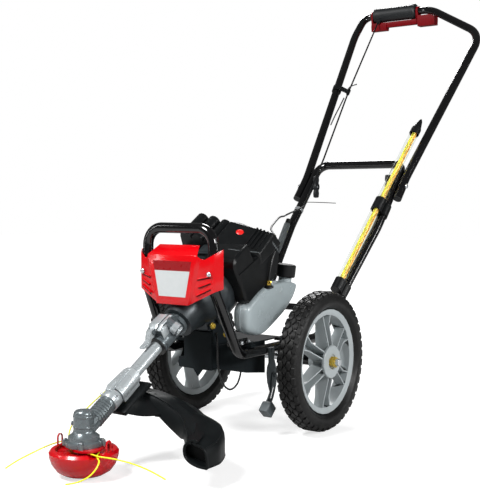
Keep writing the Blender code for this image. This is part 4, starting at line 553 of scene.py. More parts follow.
def turned(name: str, profile: Outline, finish: Finish, place: Matrix, steps: int = 64,
           crease: float = CREASE) -> Object:
    """Turn a profile round the Z axis and put it in place.

    Args:
        name: Name of the object.
        profile: Radius and height of each point, from one end to the other.
        finish: Its finish.
        place: Where the turned shape goes.
        steps: Number of steps round.
        crease: Edges sharper than this many degrees stay sharp.

    Returns:
        The new object.
    """
    shape = bmesh.new()
    points = [shape.verts.new((radius, 0.0, height)) for radius, height in profile]
    edges = [shape.edges.new(pair) for pair in zip(points, points[1:])]
    bmesh.ops.spin(shape, geom=[*points, *edges], cent=(0, 0, 0), axis=(0, 0, 1), angle=FULL_TURN,
                   steps=steps, use_merge=True)
    bmesh.ops.remove_doubles(shape, verts=shape.verts, dist=1e-6)
    bmesh.ops.transform(shape, matrix=place, verts=shape.verts)
    return from_bmesh(shape, name, finish, crease)


def prism(name: str, outline: Outline, low: float, high: float, finish: Finish, place: Matrix,
          width: float = 0.0) -> Object:
    """Extrude an outline of the XY plane along Z and put it in place.

    Args:
        name: Name of the object.
        outline: Corners in order.
        low: Lower height.
        high: Upper height.
        finish: Its finish.
        place: Where the shape goes.
        width: Width of its rounded edges.

    Returns:
        The new object.
    """
    shape = bmesh.new()
    loft(shape, [[(x, y, z) for x, y in outline] for z in (low, high)])
    if width:
        bmesh.ops.recalc_face_normals(shape, faces=shape.faces)
        bmesh.ops.bevel(shape, geom=shape.edges[:], offset=width, segments=2, affect="EDGES", profile=0.5)
    bmesh.ops.transform(shape, matrix=place, verts=shape.verts)
    return from_bmesh(shape, name, finish)


def along(start: Vector, end: Vector) -> Matrix:
    """The placement that takes the Z axis from one point towards another."""
    turn = (end - start).to_track_quat("Z", "Y").to_matrix().to_4x4()
    return Matrix.Translation(start) @ turn


def bar(name: str, start: Vector, end: Vector, radius: float, finish: Finish, chamfer: float = 0.0008,
        steps: int = 40) -> Object:
    """A round bar with chamfered ends between two points.

    Args:
        name: Name of the object.
        start: Middle of one end.
        end: Middle of the other.
        radius: Its radius.
        finish: Its finish.
        chamfer: Chamfer of its ends.
        steps: Number of steps round.

    Returns:
        The new object.
    """
    length = (end - start).length
    edge = min(chamfer, radius * 0.4, length * 0.4)
    profile = [(0, 0), (radius - edge, 0), (radius, edge), (radius, length - edge),
               (radius - edge, length), (0, length)]
    return turned(name, profile, finish, along(start, end), steps)


def pipe(name: str, start: Vector, end: Vector, radii: tuple[float, float], finish: Finish,
         chamfer: float = 0.0, steps: int = 40) -> Object:
    """An open pipe between two points.

    Args:
        name: Name of the object.
        start: Middle of one end.
        end: Middle of the other.
        radii: Inner and outer radius.
        finish: Its finish.
        chamfer: Chamfer of its outer edges.
        steps: Number of steps round.

    Returns:
        The new object.
    """
    inner, outer = radii
    length = (end - start).length
    profile = [(inner, 0), (outer - chamfer, 0), (outer, chamfer), (outer, length - chamfer),
               (outer - chamfer, length), (inner, length)]
    closed = [*dict.fromkeys(profile), profile[0]]
    return turned(name, closed, finish, along(start, end), steps)


def collar(name: str, radii: tuple[float, float], low: float, high: float, soft: tuple[float, float, float],
           finish: Finish, place: Matrix, steps: int = 40) -> Object:
    """A ring round the Z axis with soft outer edges.

    Args:
        name: Name of the object.
        radii: Inner and outer radius.
        low: Height of its foot.
        high: Height of its top.
        soft: Drop of the soft edge, and the heights of its two corners.
        finish: Its finish.
        place: Where it goes.
        steps: Number of steps round.

    Returns:
        The new object.
    """
    (inner, outer), (drop, first, second) = radii, soft
    profile = [(inner, low), (outer - drop, low + first), (outer, low + second), (outer, high - second),
               (outer - drop, high - first), (inner, high), (inner, low)]
    return turned(name, profile, finish, place, steps)


def bent(corners: Sequence[Point], radii: Sequence[float], turn: float = math.radians(5)) -> list[Vector]:
    """A path of straight runs with an arc at each inner corner.

    Args:
        corners: The corners of the path, ends included.
        radii: Radius of the arc at each inner corner.
        turn: Largest turn between two points of an arc.

    Returns:
        The points of the path.
    """
    knots = [Vector(corner) for corner in corners]
    path = [knots[0]]
    for k, radius in enumerate(radii, start=1):
        back = (knots[k - 1] - knots[k]).normalized()
        ahead = (knots[k + 1] - knots[k]).normalized()
        half = back.angle(ahead) / 2
        sweep = math.pi - 2 * half
        middle = knots[k] + (back + ahead).normalized() * (radius / math.sin(half))
        first = knots[k] + back * (radius / math.tan(half)) - middle
        axis = back.cross(ahead).normalized()
        count = max(2, math.ceil(sweep / turn))
        path += [middle + Matrix.Rotation(-sweep * j / count, 3, axis) @ first for j in range(count + 1)]
    path.append(knots[-1])
    return path


def rounded(points: Sequence[Point], steps: int = 6) -> list[Vector]:
    """A smooth line through all the points, as a Catmull-Rom spline.

    Args:
        points: What the line passes through.
        steps: Number of steps between two of them.

    Returns:
        The points of the line.
    """
    knots = [Vector(point) for point in points]
    knots = [knots[0] * 2 - knots[1], *knots, knots[-1] * 2 - knots[-2]]
    path = []
    for a, b, c, d in zip(knots, knots[1:], knots[2:], knots[3:]):
        for j in range(steps):
            t = j / steps
            path.append(0.5 * (2 * b + (c - a) * t + (2 * a - 5 * b + 4 * c - d) * t * t
                               + (3 * b - a - 3 * c + d) * t ** 3))
    path.append(knots[-2])
    return path


# Geometry Nodes trees


class Tree:
    """Base of the trees: a geometry in, a geometry out, and named inputs between.

    Attributes:
        title: Name of the node group.
        sizes: Name, socket type and default of each input.
    """

    title = "tree"
    sizes: tuple[tuple[str, str, object], ...] = ()

    def __init__(self) -> None:
        """Make the group with its sockets, and let the subclass fill it."""
        self.group = bpy.data.node_groups.new(self.title, "GeometryNodeTree")
        face = self.group.interface
        face.new_socket("Geometry", in_out="INPUT", socket_type="NodeSocketGeometry")
        face.new_socket("Geometry", in_out="OUTPUT", socket_type="NodeSocketGeometry")
        for name, kind, value in self.sizes:
            socket = face.new_socket(name, in_out="INPUT", socket_type=kind)
            if value is not None:
                socket.default_value = value
        face.new_socket("Material", in_out="INPUT", socket_type="NodeSocketMaterial")
        source = add(self.group, "NodeGroupInput")
        whole = add(self.group, "GeometryNodeRealizeInstances", {0: self.fill(source)})
        painted = add(self.group, "GeometryNodeSetMaterial", {0: whole.outputs[0],
                                                              "Material": source.outputs["Material"]})
        add(self.group, "NodeGroupOutput", {0: painted.outputs[0]})

    def fill(self, source: Node) -> NodeSocket:
        """Build the middle of the tree; each subclass has its own."""
        raise NotImplementedError

    def use(self, obj: Object, finish: Finish, crease: float = CREASE, **sizes) -> Object:
        """Run the tree on an object and give the plain mesh.

        Args:
            obj: The object whose geometry goes in.
            finish: The finish of the result.
            crease: Edges sharper than this many degrees stay sharp.
            **sizes: Values of the named inputs, with underscores for spaces.

        Returns:
            A plain mesh object of the same name.
        """
        modifier = obj.modifiers.new(self.title, "NODES")
        modifier.node_group = self.group
        values = {key.replace("_", " "): value for key, value in sizes.items()}
        values["Material"] = finish.material()
        for item in self.group.interface.items_tree:
            if item.in_out == "INPUT" and item.name in values:
                modifier[item.identifier] = values[item.name]
        made = fresh_mesh(obj, crease)
        if not made.data.materials:
            made.data.materials.append(finish.material())
        return made


class Sweep(Tree):
    """A round tube or bar along a curve."""

    title = "round tube"
    sizes = (("Radius", "NodeSocketFloat", 0.01), ("Sides", "NodeSocketInt", 32))

    def fill(self, source: Node) -> NodeSocket:
        """Sweep a circle along the curve and close its ends."""
        circle = add(self.group, "GeometryNodeCurvePrimitiveCircle", {"Radius": source.outputs["Radius"],
                                                                      "Resolution": source.outputs["Sides"]})
        return add(self.group, "GeometryNodeCurveToMesh", {"Curve": source.outputs["Geometry"],
                                                           "Profile Curve": circle.outputs[0],
                                                           "Fill Caps": True}).outputs[0]


class Ring(Tree):
    """Copies of the incoming shape, turned in even steps about the X axis."""

    title = "ring of copies"
    sizes = (("Count", "NodeSocketInt", 12),)

    def fill(self, source: Node) -> NodeSocket:
        """Put one turned instance on each of the points, which all lie at the origin.

        Args:
            source: The node that gives the tree's inputs.

        Returns:
            The socket of the copies.
        """
        points = add(self.group, "GeometryNodePoints", {"Count": source.outputs["Count"]})
        index = add(self.group, "GeometryNodeInputIndex").outputs[0]
        share = math_node(self.group, "DIVIDE", index, source.outputs["Count"])
        angle = math_node(self.group, "MULTIPLY", share, FULL_TURN)
        turn = add(self.group, "ShaderNodeCombineXYZ", {"X": angle})
        return add(self.group, "GeometryNodeInstanceOnPoints", {"Points": points.outputs[0],
                                                                "Instance": source.outputs["Geometry"],
                                                                "Rotation": turn.outputs[0]}).outputs[0]


class Row(Tree):
    """Copies of the incoming shape in even steps along a line."""

    title = "row of copies"
    sizes = (("Count", "NodeSocketInt", 6), ("Step", "NodeSocketVector", None))

    def fill(self, source: Node) -> NodeSocket:
        """Put one instance on each point of a mesh line."""
        line = add(self.group, "GeometryNodeMeshLine", {"Count": source.outputs["Count"],
                                                        "Offset": source.outputs["Step"]})
        return add(self.group, "GeometryNodeInstanceOnPoints", {"Points": line.outputs[0], "Instance":
                                                                source.outputs["Geometry"]}).outputs[0]


SWEEP = Sweep()
RING = Ring()
ROW = Row()


def swept(name: str, path: Sequence[Point], radius: float, finish: Finish, sides: int = 32) -> Object:
    """A round tube with closed ends along a path.

    Args:
        name: Name of the object.
        path: Points of its centreline.
        radius: Its radius.
        finish: Its finish.
        sides: Number of its sides.

    Returns:
        The plain mesh object.
    """
    curve = bpy.data.curves.new(name, "CURVE")
    curve.dimensions = "3D"
    spline = curve.splines.new("POLY")
    spline.points.add(len(path) - 1)
    for knot, point in zip(spline.points, path):
        knot.co = (*point, 1.0)
    return SWEEP.use(linked(name, curve), finish, Radius=radius, Sides=sides)


# Where things are


@dataclass(frozen=True)
class Layout:
    """The main places of the machine.

    Attributes:
        middle_x: The machine's middle plane.
        axle_y: The axle.
        fold_y: The fold of the handle, from the axle.
        fold_z: Height of the fold.
        tilt: Tilt of the handle's plane.
        head_y: Axis of the cutting head, from the axle.
        boom_height: Where the boom's line crosses the head's axis.
        boom_tilt: Tilt of the boom.
    """

    middle_x: float = -0.003643
    axle_y: float = -0.174855
    fold_y: float = 0.4544
    fold_z: float = 0.5372
    tilt: float = math.radians(47.75)
    head_y: float = -0.548
    boom_height: float = 0.0815
    boom_tilt: float = math.radians(32)

    def at(self, x: float, y: float, z: float) -> Vector:
        """A point given from the axle and the middle plane."""
        return Vector((x + self.middle_x, y + self.axle_y, z))

    def on_handle(self, x: float, u: float, n: float = 0.0) -> Vector:
        """A point in the handle's plane: across, up from the fold and out of the plane."""
        c, s = math.cos(self.tilt), math.sin(self.tilt)
        return self.at(x, self.fold_y + u * c - n * s, self.fold_z + u * s + n * c)

    def on_line(self, x: float, s: float, t: float = 0.0) -> Vector:
        """A point of the drive line: across, along from the head and above it."""
        c, k = math.cos(self.boom_tilt), math.sin(self.boom_tilt)
        return self.at(x, self.head_y + s * c - t * k, self.boom_height + s * k + t * c)

    def line_frame(self, x: float = 0.0, s: float = 0.0, t: float = 0.0) -> Matrix:
        """A placement in the drive line's frame, with Y along it and Z above it."""
        return Matrix.Translation(self.on_line(x, s, t)) @ Matrix.Rotation(self.boom_tilt, 4, "X")


PLAN = Layout()
# Turns a prism so that its outline lies in the YZ plane and its thickness along X
SIDE_ON = Matrix(((0, 0, 1, 0), (1, 0, 0, 0), (0, 1, 0, 0), (0, 0, 0, 1)))
# Turns a prism so that its outline lies in the XZ plane and its thickness towards the front
FRONT_ON = Matrix(((1, 0, 0, 0), (0, 0, -1, 0), (0, 1, 0, 0), (0, 0, 0, 1)))


def settle(piece: Object, body: str, *nodes: str, slot: str | None = None) -> Object:
    """Let a piece ride on its body and stand for CAD nodes.

    Args:
        piece: The finished object.
        body: The CAD body that it moves with.
        *nodes: The CAD nodes that it stands for.
        slot: A material slot name; not used.

    Returns:
        The piece.
    """
    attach(piece, body)
    if nodes:
        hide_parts(*nodes)
    LOG.info("%s rides on %s with %d faces", piece.name, body, len(piece.data.polygons))
    return piece


# Sub-assemblies


@dataclass
class TubeFrame:
    """The hoop, the rails, the cross tube and the axle plates, and both handle tubes.

    Attributes:
        radius: Radius of the tube.
        hoop_half: Half the width of the hoop.
        hoop_y: Where the hoop stands.
        hoop_top: Its height.
        knee_z: Where its legs turn.
        rail_z: Height of the rails.
        rail_y: Front of the rails.
        rail_half: Half the width between their fronts.
        lower_half: Half the width of the lower handle at the fold.
        wheel_z: Height of the axle.
        brace_u: Place of the cross tube, up from the fold.
        brace_radius: Its radius.
        foot: Radius of the axle plates' round foot.
        sleeve_end: Outer end of the axle's sleeves, from the middle plane.
        boss: Place of the bosses of the front guard: across and up.
    """

    radius: float = 0.011
    hoop_half: float = 0.0851
    hoop_y: float = -0.267
    hoop_top: float = 0.445
    knee_z: float = 0.323
    rail_z: float = 0.182
    rail_y: float = -0.1965
    rail_half: float = 0.0958
    lower_half: float = 0.127
    wheel_z: float = 0.1524
    brace_u: float = -0.4
    brace_radius: float = 0.0085
    foot: float = 0.0148
    sleeve_end: float = 0.1577
    boss: tuple[float, float] = (0.0866, 0.3545)

    def leg_half(self, u: float) -> float:
        """Half the width between the lower legs."""
        return self.lower_half + 0.095 * min(0.0, u + 0.14)

    def leg_at(self, u: float) -> Vector:
        """A point on the near lower leg, from the axle and the middle plane."""
        return PLAN.on_handle(self.leg_half(u), u) - PLAN.at(0, 0, 0)

    def rail_u(self) -> float:
        """Where the legs' line meets the height of the rails, up from the fold."""
        return (self.rail_z - PLAN.fold_z) / math.sin(PLAN.tilt)

    def rail_at(self, y: float) -> float:
        """Distance of the rails from the middle plane at this Y."""
        corner = self.leg_at(self.rail_u())
        return self.rail_half + (corner.x - self.rail_half) * (y - self.rail_y) / (corner.y - self.rail_y)

    def hoop(self) -> Object:
        """The tube from one leg's foot along the rails and over the hoop to the other.

        Returns:
            The bent tube.
        """
        points = [tuple(self.leg_at(u)) for u in (-0.355, self.rail_u())]
        points += [(self.rail_half, self.rail_y, self.rail_z),
                   (self.hoop_half + 0.0012, self.hoop_y - 0.001, self.knee_z),
                   (self.hoop_half, self.hoop_y, self.hoop_top)]
        points += [(-x, y, z) for x, y, z in reversed(points)]
        radii = [0.06, 0.04, 0.06, 0.036, 0.036, 0.06, 0.04, 0.06]
        return swept("hoop_and_rails", bent([PLAN.at(*point) for point in points], radii), self.radius,
                     TUBE_COAT, 40)

    def axle_plate(self, side: int) -> list[Object]:
        """One axle plate with its sleeve, its weld beads and the boss above it.

        Args:
            side: 1 or -1, the sign of X.

        Returns:
            The pieces.
        """
        circle = [(self.foot * math.cos(a), self.wheel_z + self.foot * math.sin(a))
                  for a in (math.pi + math.pi * k / 20 for k in range(21))]
        top = self.rail_z - self.radius + 0.0009
        x = side * self.rail_at(0.0)
        boss = PLAN.at(side * self.boss[0], self.hoop_y, self.boss[1])
        parts = [prism("plate", [(0.026, top), (-0.026, top), *circle], -0.0025, 0.0025, TUBE_COAT,
                       Matrix.Translation(PLAN.at(x, 0, 0)) @ SIDE_ON, 0.0006),
                 bar("sleeve", PLAN.at(x, 0, self.wheel_z), PLAN.at(side * self.sleeve_end, 0, self.wheel_z),
                     self.foot - 0.002, TUBE_COAT),
                 bar("boss", boss + Vector((0, -0.004, 0)), boss - Vector((0, 0.0117, 0)), 0.006, TUBE_COAT)]
        for end in (-0.020, 0.020):
            bead = PLAN.at(x - 0.0035, end, top + 0.001)
            parts.append(bar("weld", bead, bead + Vector((0.007, 0, 0)), 0.0022, TUBE_COAT, steps=12))
        return parts

    def main_tube(self) -> Object:
        """The bent tube with its cross tube, axle plates, sleeves and guard bosses.

        Returns:
            The joined piece.
        """
        brace = self.leg_at(self.brace_u)
        cross = bar("cross_tube", PLAN.at(*brace), PLAN.at(-brace.x, brace.y, brace.z), self.brace_radius,
                    TUBE_COAT)
        return joined("main_tube", [self.hoop(), cross, *self.axle_plate(1), *self.axle_plate(-1)])

    def lower_handle(self) -> Object:
        """The inverted U between the rails and the fold.

        Returns:
            The bent tube.
        """
        legs = [(self.leg_half(u), u) for u in (-0.3544, -0.14, 0.0795)]
        corners = [PLAN.on_handle(x, u) for x, u in legs] + [PLAN.on_handle(-x, u) for x, u in reversed(legs)]
        return swept("lower_tube", bent(corners, [0.3, 0.030, 0.030, 0.3]), self.radius, TUBE_COAT, 40)

    def upper_handle(self) -> Object:
        """The long bent tube that the operator holds, with its end plugs.

        Returns:
            The joined piece.
        """
        half = self.lower_half + 2 * self.radius + 0.0003
        corners = [(half, -0.045), (half, 0.03), (half + 0.0905 * 0.559, 0.589), (0.0018, 0.734),
                   (-0.2215, 0.734), (-half - 0.1242 * 0.61, 0.640), (-half, 0.03), (-half, -0.045)]
        path = bent([PLAN.on_handle(x, u) for x, u in corners], [0.3, 0.098, 0.098, 0.030, 0.25, 0.3])
        parts = [swept("upper_tube", path, self.radius, TUBE_COAT, 40)]
        for x in (half, -half):
            end = PLAN.on_handle(x, -0.045)
            inward = (PLAN.on_handle(x, 0.0) - end).normalized() * 0.0002
            parts.append(bar("plug", end + inward, end - inward, self.radius * 0.86, GRIP_RUBBER))
        return joined("upper_tube", parts)

    def build(self) -> None:
        """Make the tubes and seat them."""
        settle(self.main_tube(), "frame", "frame_tube", slot="frame_black")
        settle(self.lower_handle(), "frame", "lower_handle", slot="frame_black")
        settle(self.upper_handle(), "handle", "upper_handle", slot="frame_black")


class Side(Enum):
    """The two sides of the machine, with the sign of X."""

    LEFT = 1
    RIGHT = -1


@dataclass
class Wheel:
    """One tyre with its tread and its six spoke wheel.

    Attributes:
        side: The side of the machine.
        radius: Outer radius of the tyre, which is also the height of the axle.
        width: Width of the tyre.
        track: Distance between the middle planes of the tyres.
        pitches: Number of repeats of the tread.
        groove: Depth of the tread.
    """

    side: Side
    radius: float = 0.1524
    width: float = 0.0517
    track: float = 0.3574
    pitches: int = 44
    groove: float = 0.0032

    def place(self) -> Matrix:
        """The placement of the wheel's middle."""
        return Matrix.Translation(PLAN.at(self.side.value * self.track / 2, 0, self.radius))

    def pitch(self) -> float:
        """The length of one repeat of the tread."""
        return FULL_TURN * self.radius / self.pitches

    def carcass(self) -> Object:
        """The body of the tyre, without its tread.

        Returns:
            The turned body.
        """
        half = self.width / 2
        base = self.radius - self.groove
        crown = [(base, 0.0), (base, 0.010), (base - 0.0010, 0.0155), (base - 0.0040, half - 0.0055),
                 (base - 0.0105, half - 0.0014), (self.radius - 0.0230, half - 0.0004),
                 (self.radius - 0.0290, half - 0.0012), (0.1225, half - 0.0021), (0.1180, half - 0.0060),
                 (0.1150, 0.0145), (0.1139, 0.0139), (0.1044, 0.0139)]
        profile = [(r, h) for r, h in reversed(crown)] + [(r, -h) for r, h in crown[1:]]
        turn = self.place() @ Matrix.Rotation(math.radians(90), 4, "Y")
        return turned("carcass", [*profile, profile[0]], TYRE_RUBBER, turn, 112, 40)

    def lug(self, shape: bmesh.types.BMesh, outline: Outline, top: float, bottom: float, lean: float) -> None:
        """Add one tread block, whose outline is given across the tyre and round it.

        Args:
            shape: The mesh that gets the block.
            outline: Distance across and distance round of each corner.
            top: Radius of its top.
            bottom: Radius of its foot.
            lean: How much the top drops for each metre past the flat crown.
        """
        rings = []
        middle = Vector((sum(p[0] for p in outline), sum(p[1] for p in outline))) / len(outline)
        for radius, share in ((bottom, 1.12), (top - 0.0006, 1.0), (top, 0.86)):
            ring = []
            for x, d in outline:
                x = middle.x + (x - middle.x) * share
                d = middle.y + (d - middle.y) * share
                r = radius - lean * max(0.0, abs(x) - 0.012)
                ring.append((x, r * math.sin(d / self.radius), r * math.cos(d / self.radius)))
            rings.append(ring)
        loft(shape, rings)

    def ring(self, shape: bmesh.types.BMesh, name: str) -> Object:
        """Repeat one pitch round the tyre and put the ring in place.

        Args:
            shape: The mesh of one pitch.
            name: Name of the ring.

        Returns:
            The ring.
        """
        made = RING.use(from_bmesh(shape, name, TYRE_RUBBER), TYRE_RUBBER, Count=self.pitches)
        made.data.transform(self.place())
        return made

    def tread(self) -> Object:
        """The ring of blocks: diamonds in the middle, squares beside them, bars on the shoulders.

        Returns:
            The tread.
        """
        pitch = self.pitch()
        shape = bmesh.new()
        foot = self.radius - self.groove - 0.0008
        diamond = [(-0.0062, 0), (0, -pitch * 0.43), (0.0062, 0), (0, pitch * 0.43)]
        self.lug(shape, diamond, self.radius, foot, 0)
        block = [(0.0066, 0.14), (0.0128, 0.10), (0.0150, 0.5), (0.0128, 0.90), (0.0066, 0.86), (0.0036, 0.5)]
        shoulder = [(0.0160, -0.30), (0.0218, -0.34), (0.0222, 0.34), (0.0160, 0.30), (0.0140, 0.0)]
        for sign in (1, -1):
            self.lug(shape, [(sign * x, pitch * d) for x, d in block], self.radius, foot, 0.05)
            self.lug(shape, [(sign * x, pitch * d) for x, d in shoulder], self.radius - 0.0006,
                     foot - 0.0035, 0.42)
        return self.ring(shape, "tread")

    def side_bars(self) -> Object:
        """Short raised bars on the tyre's wall, which carry the tread over its shoulder.

        Returns:
            The bars.
        """
        pitch = self.pitch()
        shape = bmesh.new()
        corners = ((0.0245, 0.1312, -0.24), (0.0245, 0.1312, 0.24), (0.0222, 0.1405, 0.30),
                   (0.0222, 0.1405, -0.30))
        for sign in (1, -1):
            loft(shape, [[(sign * (x + rise), r * math.sin(pitch * d / r), r * math.cos(pitch * d / r))
                          for x, r, d in corners] for rise in (-0.0015, 0.0009)])
        return self.ring(shape, "wall bars")

    def build(self) -> None:
        """Make the tyre and the wheel and seat them."""
        word = self.side.name.lower()
        tyre = joined(f"tyre_{word}_tread", [self.carcass(), self.tread(), self.side_bars()])
        settle(tyre, f"wheel_{word}", f"tyre_{word}", slot="tyre_black")
        rim = softened(f"rim_{word}", WHEEL_PLASTIC, 0.0012, 40)
        settle(rim, f"wheel_{word}", f"rim_{word}", slot="wheel_grey")


@dataclass
class Plainware:
    """Pieces whose CAD shape is right and only needs soft edges and a finish.

    Attributes:
        groups: Body, finish and material slot of each group, and the width of the soft edges of each of its
            nodes in tenths of a millimetre.
        hidden: Nodes inside the others, which keep their CAD solids.
    """

    groups: Sequence[tuple[str, Finish, str, dict[str, int]]] = (
        ("frame", PAN_COAT, "pan_black", {"belly_pan": 8, "engine_mount": 5}),
        ("frame", BRIGHT_STEEL, "bright_steel", {
            "axle": 6, "guard_screw_left": 3, "guard_screw_right": 3, "pivot_bolt_left": 4,
            "pivot_bolt_right": 4}),
        ("frame", YELLOW_ZINC, "yellow_zinc", {
            "axle_nut_left": 7, "axle_nut_right": 7, "mount_bolt_front": 5, "mount_bolt_rear": 5}),
        # The engine castings take the darker copy of cast aluminium, painted shade
        ("frame", SHADED_ENGINE_CAST, "cast_grey", {
            "crankcase": 8, "clutch_housing": 10, "cylinder": 0, "muffler": 10}),
        ("frame", COVER_NYLON, "cover_black", {
            "cylinder_cover": 10, "air_cleaner_cover": 10, "recoil_housing": 10, "storage_clamp_lower": 4,
            "storage_clamp_upper": 4}),
        ("frame", LEVER_COAT, "pad_grey", {"pedal_quadrant": 6}),
        ("button", BUTTON_ABS, "button_red", {"stop_button": 4}),
        ("starter_grip", GRIP_RUBBER, "grip_black", {"recoil_grip": 8}),
        ("tank_cap", COVER_NYLON, "cover_black", {"fuel_cap": 6}),
        ("handle", GRIP_RUBBER, "grip_black", {"grip_housing": 8}),
        ("handle", COVER_NYLON, "cover_black", {"cable_guide": 5}),
        ("bail", BAIL_NYLON, "bail_red", {"bail_lever": 10}),
        ("fold_knob_left", GRIP_RUBBER, "grip_black", {"knob_left": 10}),
        ("fold_knob_right", GRIP_RUBBER, "grip_black", {"knob_right": 10}),
        ("tube_cap", COVER_NYLON, "cover_black", {"storage_cap": 4}),
        ("latch", CAST_LIGHT, "light_cast", {"latch_lever": 5}),
        ("clamp_knob", CAST_LIGHT, "light_cast", {"coupler_knob": 5}),
        ("boom", CAST_LIGHT, "light_cast", {"guard_bracket": 6}),
        ("boom", BRIGHT_STEEL, "bright_steel", {"line_cutter": 3}),
        ("head", HEAD_NYLON, "head_red", {"trimmer_head": 7}),
        ("pedal", LEVER_COAT, "pad_grey", {"foot_pedal": 8}))
    hidden: tuple[str, str] = ("drive_shaft", "output_gear")

    def build(self) -> None:
        """Copy, soften and seat each piece, and dress the hidden CAD nodes."""
        for body, finish, slot, nodes in self.groups:
            for node, width in nodes.items():
                settle(softened(node, finish, width / TENTHS_PER_METRE), body, node, slot=slot)
        for node in self.hidden:
            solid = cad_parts[node]
            solid.data.materials.clear()
            solid.data.materials.append(BRIGHT_STEEL.material())
            LOG.info("%s keeps its CAD solid", node)


@dataclass
class FrontGuard:
    """The folded red guard with its pressed middle panel, louvres and blank label.

    Attributes:
        face_y: The plane of the middle panel, from the axle.
        fold_y: Where the wings start.
        knee: Place of the fold at the hoop's leg: across and back.
        wing: Place of the wing's edge.
        top: Height of the panel's top edge, and its half width there.
        foot: Height of its lower edge, and its half width there.
        sheet: Thickness of the sheet.
        lip: Width of the panel's pressed border.
        ribs: Across and height of both ends of each louvre.
        wing_slope: How fast the wing falls back across the machine.
        wing_at: A point of the wing: across and back.
    """

    face_y: float = -0.2935
    fold_y: float = -0.2885
    knee: tuple[float, float] = (0.0945, -0.2790)
    wing: tuple[float, float] = (0.1060, -0.2615)
    top: tuple[float, float] = (0.3910, 0.0640)
    foot: tuple[float, float] = (0.2905, 0.0400)
    sheet: float = 0.0015
    lip: float = 0.0055
    ribs: Sequence[tuple[Point, Point]] = (
        ((0.0615, 0.3445), (0.0890, 0.3505)), ((0.0635, 0.3285), (0.0890, 0.3384)),
        ((0.0595, 0.3115), (0.0890, 0.3262)))
    wing_slope: float = 0.2917
    wing_at: tuple[float, float] = (0.0886, -0.2817)

    def folded(self) -> Object:
        """The folded sheet itself.

        Returns:
            The sheet, with its thickness and soft edges.
        """
        (top, top_half), (foot, foot_half) = self.top, self.foot
        step = self.fold_y + 0.0025
        # X, Y and Z of the top and of the foot of each column, from the panel's edge outwards
        columns = [
            ((top_half, self.face_y, top), (foot_half, self.face_y, foot)),
            ((top_half + self.lip, self.fold_y, top - 0.006), (foot_half + self.lip, self.fold_y, 0.2933)),
            ((top_half + 0.0135, step, top - 0.0075), (foot_half + 0.020, step, 0.3007)),
            ((*self.knee, 0.394), (*self.knee, 0.318)),
            ((*self.wing, 0.404), (*self.wing, 0.3245)),
        ]
        shape = bmesh.new()
        rows = []
        for sign in (-1, 1):
            for high, low in (columns[::-1] if sign < 0 else columns):
                rows.append([PLAN.at(sign * high[0] + (low[0] - high[0]) * sign * t,
                                     high[1] + (low[1] - high[1]) * t, high[2] + (low[2] - high[2]) * t)
                             for t in (0.0, 0.25, 0.5, 0.75, 1.0)])
        grid = net(shape, rows)
        brow = [shape.verts.new(PLAN.at(x, -0.2685, 0.4108)) for x in (-0.052, 0.052)]
        shape.faces.new((grid[4][0], grid[5][0], brow[1], brow[0]))
        made = from_bmesh(shape, "guard_sheet", RED_ENAMEL, 12)
        modify(made, "sheet", "SOLIDIFY", thickness=self.sheet, offset=0.0)
        modify(made, "edge", "BEVEL", width=0.0007, segments=2, limit_method="ANGLE",
               angle_limit=math.radians(12))
        return fresh_mesh(made, 30)

    def louvres(self) -> list[Object]:
        """Three pressed ribs on each wing, each over a dark slot.

        Returns:
            The ribs and slots.
        """
        made = []
        sunk, drop = Vector((0, 0.0007, 0)), Vector((0, 0.0002, -0.0022))
        for sign in (1, -1):
            for ends in self.ribs:
                a, b = (PLAN.at(sign * x, self.wing_at[1] + self.wing_slope * (x - self.wing_at[0]), z)
                        for x, z in ends)
                made.append(bar("rib", a + sunk, b + sunk, 0.0018, RED_ENAMEL, 0.0009, 20))
                # The slot is a dark bar of painted shade under each rib
                made.append(bar("slot", a + drop, b + drop, 0.0011, SHADOW, 0.0004, 12))
        return made

    def label(self) -> list[Object]:
        """The blank label: a pale field under a deep red band.

        Returns:
            The field and the band.
        """
        place = Matrix.Translation(PLAN.at(0, self.face_y - self.sheet / 2, 0)) @ FRONT_ON
        pale = [(-0.0345, 0.3065), (0.0345, 0.3065), (0.0455, 0.3590), (-0.0455, 0.3590)]
        deep = [(-0.0457, 0.3595), (0.0457, 0.3595), (0.0500, 0.3790), (-0.0500, 0.3790)]
        return [prism("label", pale, -0.0001, 0.0003, LABEL, place),
                prism("band", deep, -0.0001, 0.0003, LABEL_RED, place)]

    def build(self) -> None:
        """Make the guard and seat it."""
        guard = joined("folded_guard", [self.folded(), *self.louvres()])
        settle(guard, "frame", "front_guard", slot="guard_red")
        settle(joined("guard_label", self.label()), "frame")


def risen(value: float, start: float, width: float) -> float:
    """How far a value has come from its start across a width, held between 0 and 1."""
    return min(1.0, max(0.0, (value - start) / width))


def eased(value: float, start: float, width: float) -> float:
    """The same with a soft start and end."""
    t = risen(value, start, width)
    return t * t * (3 - 2 * t)


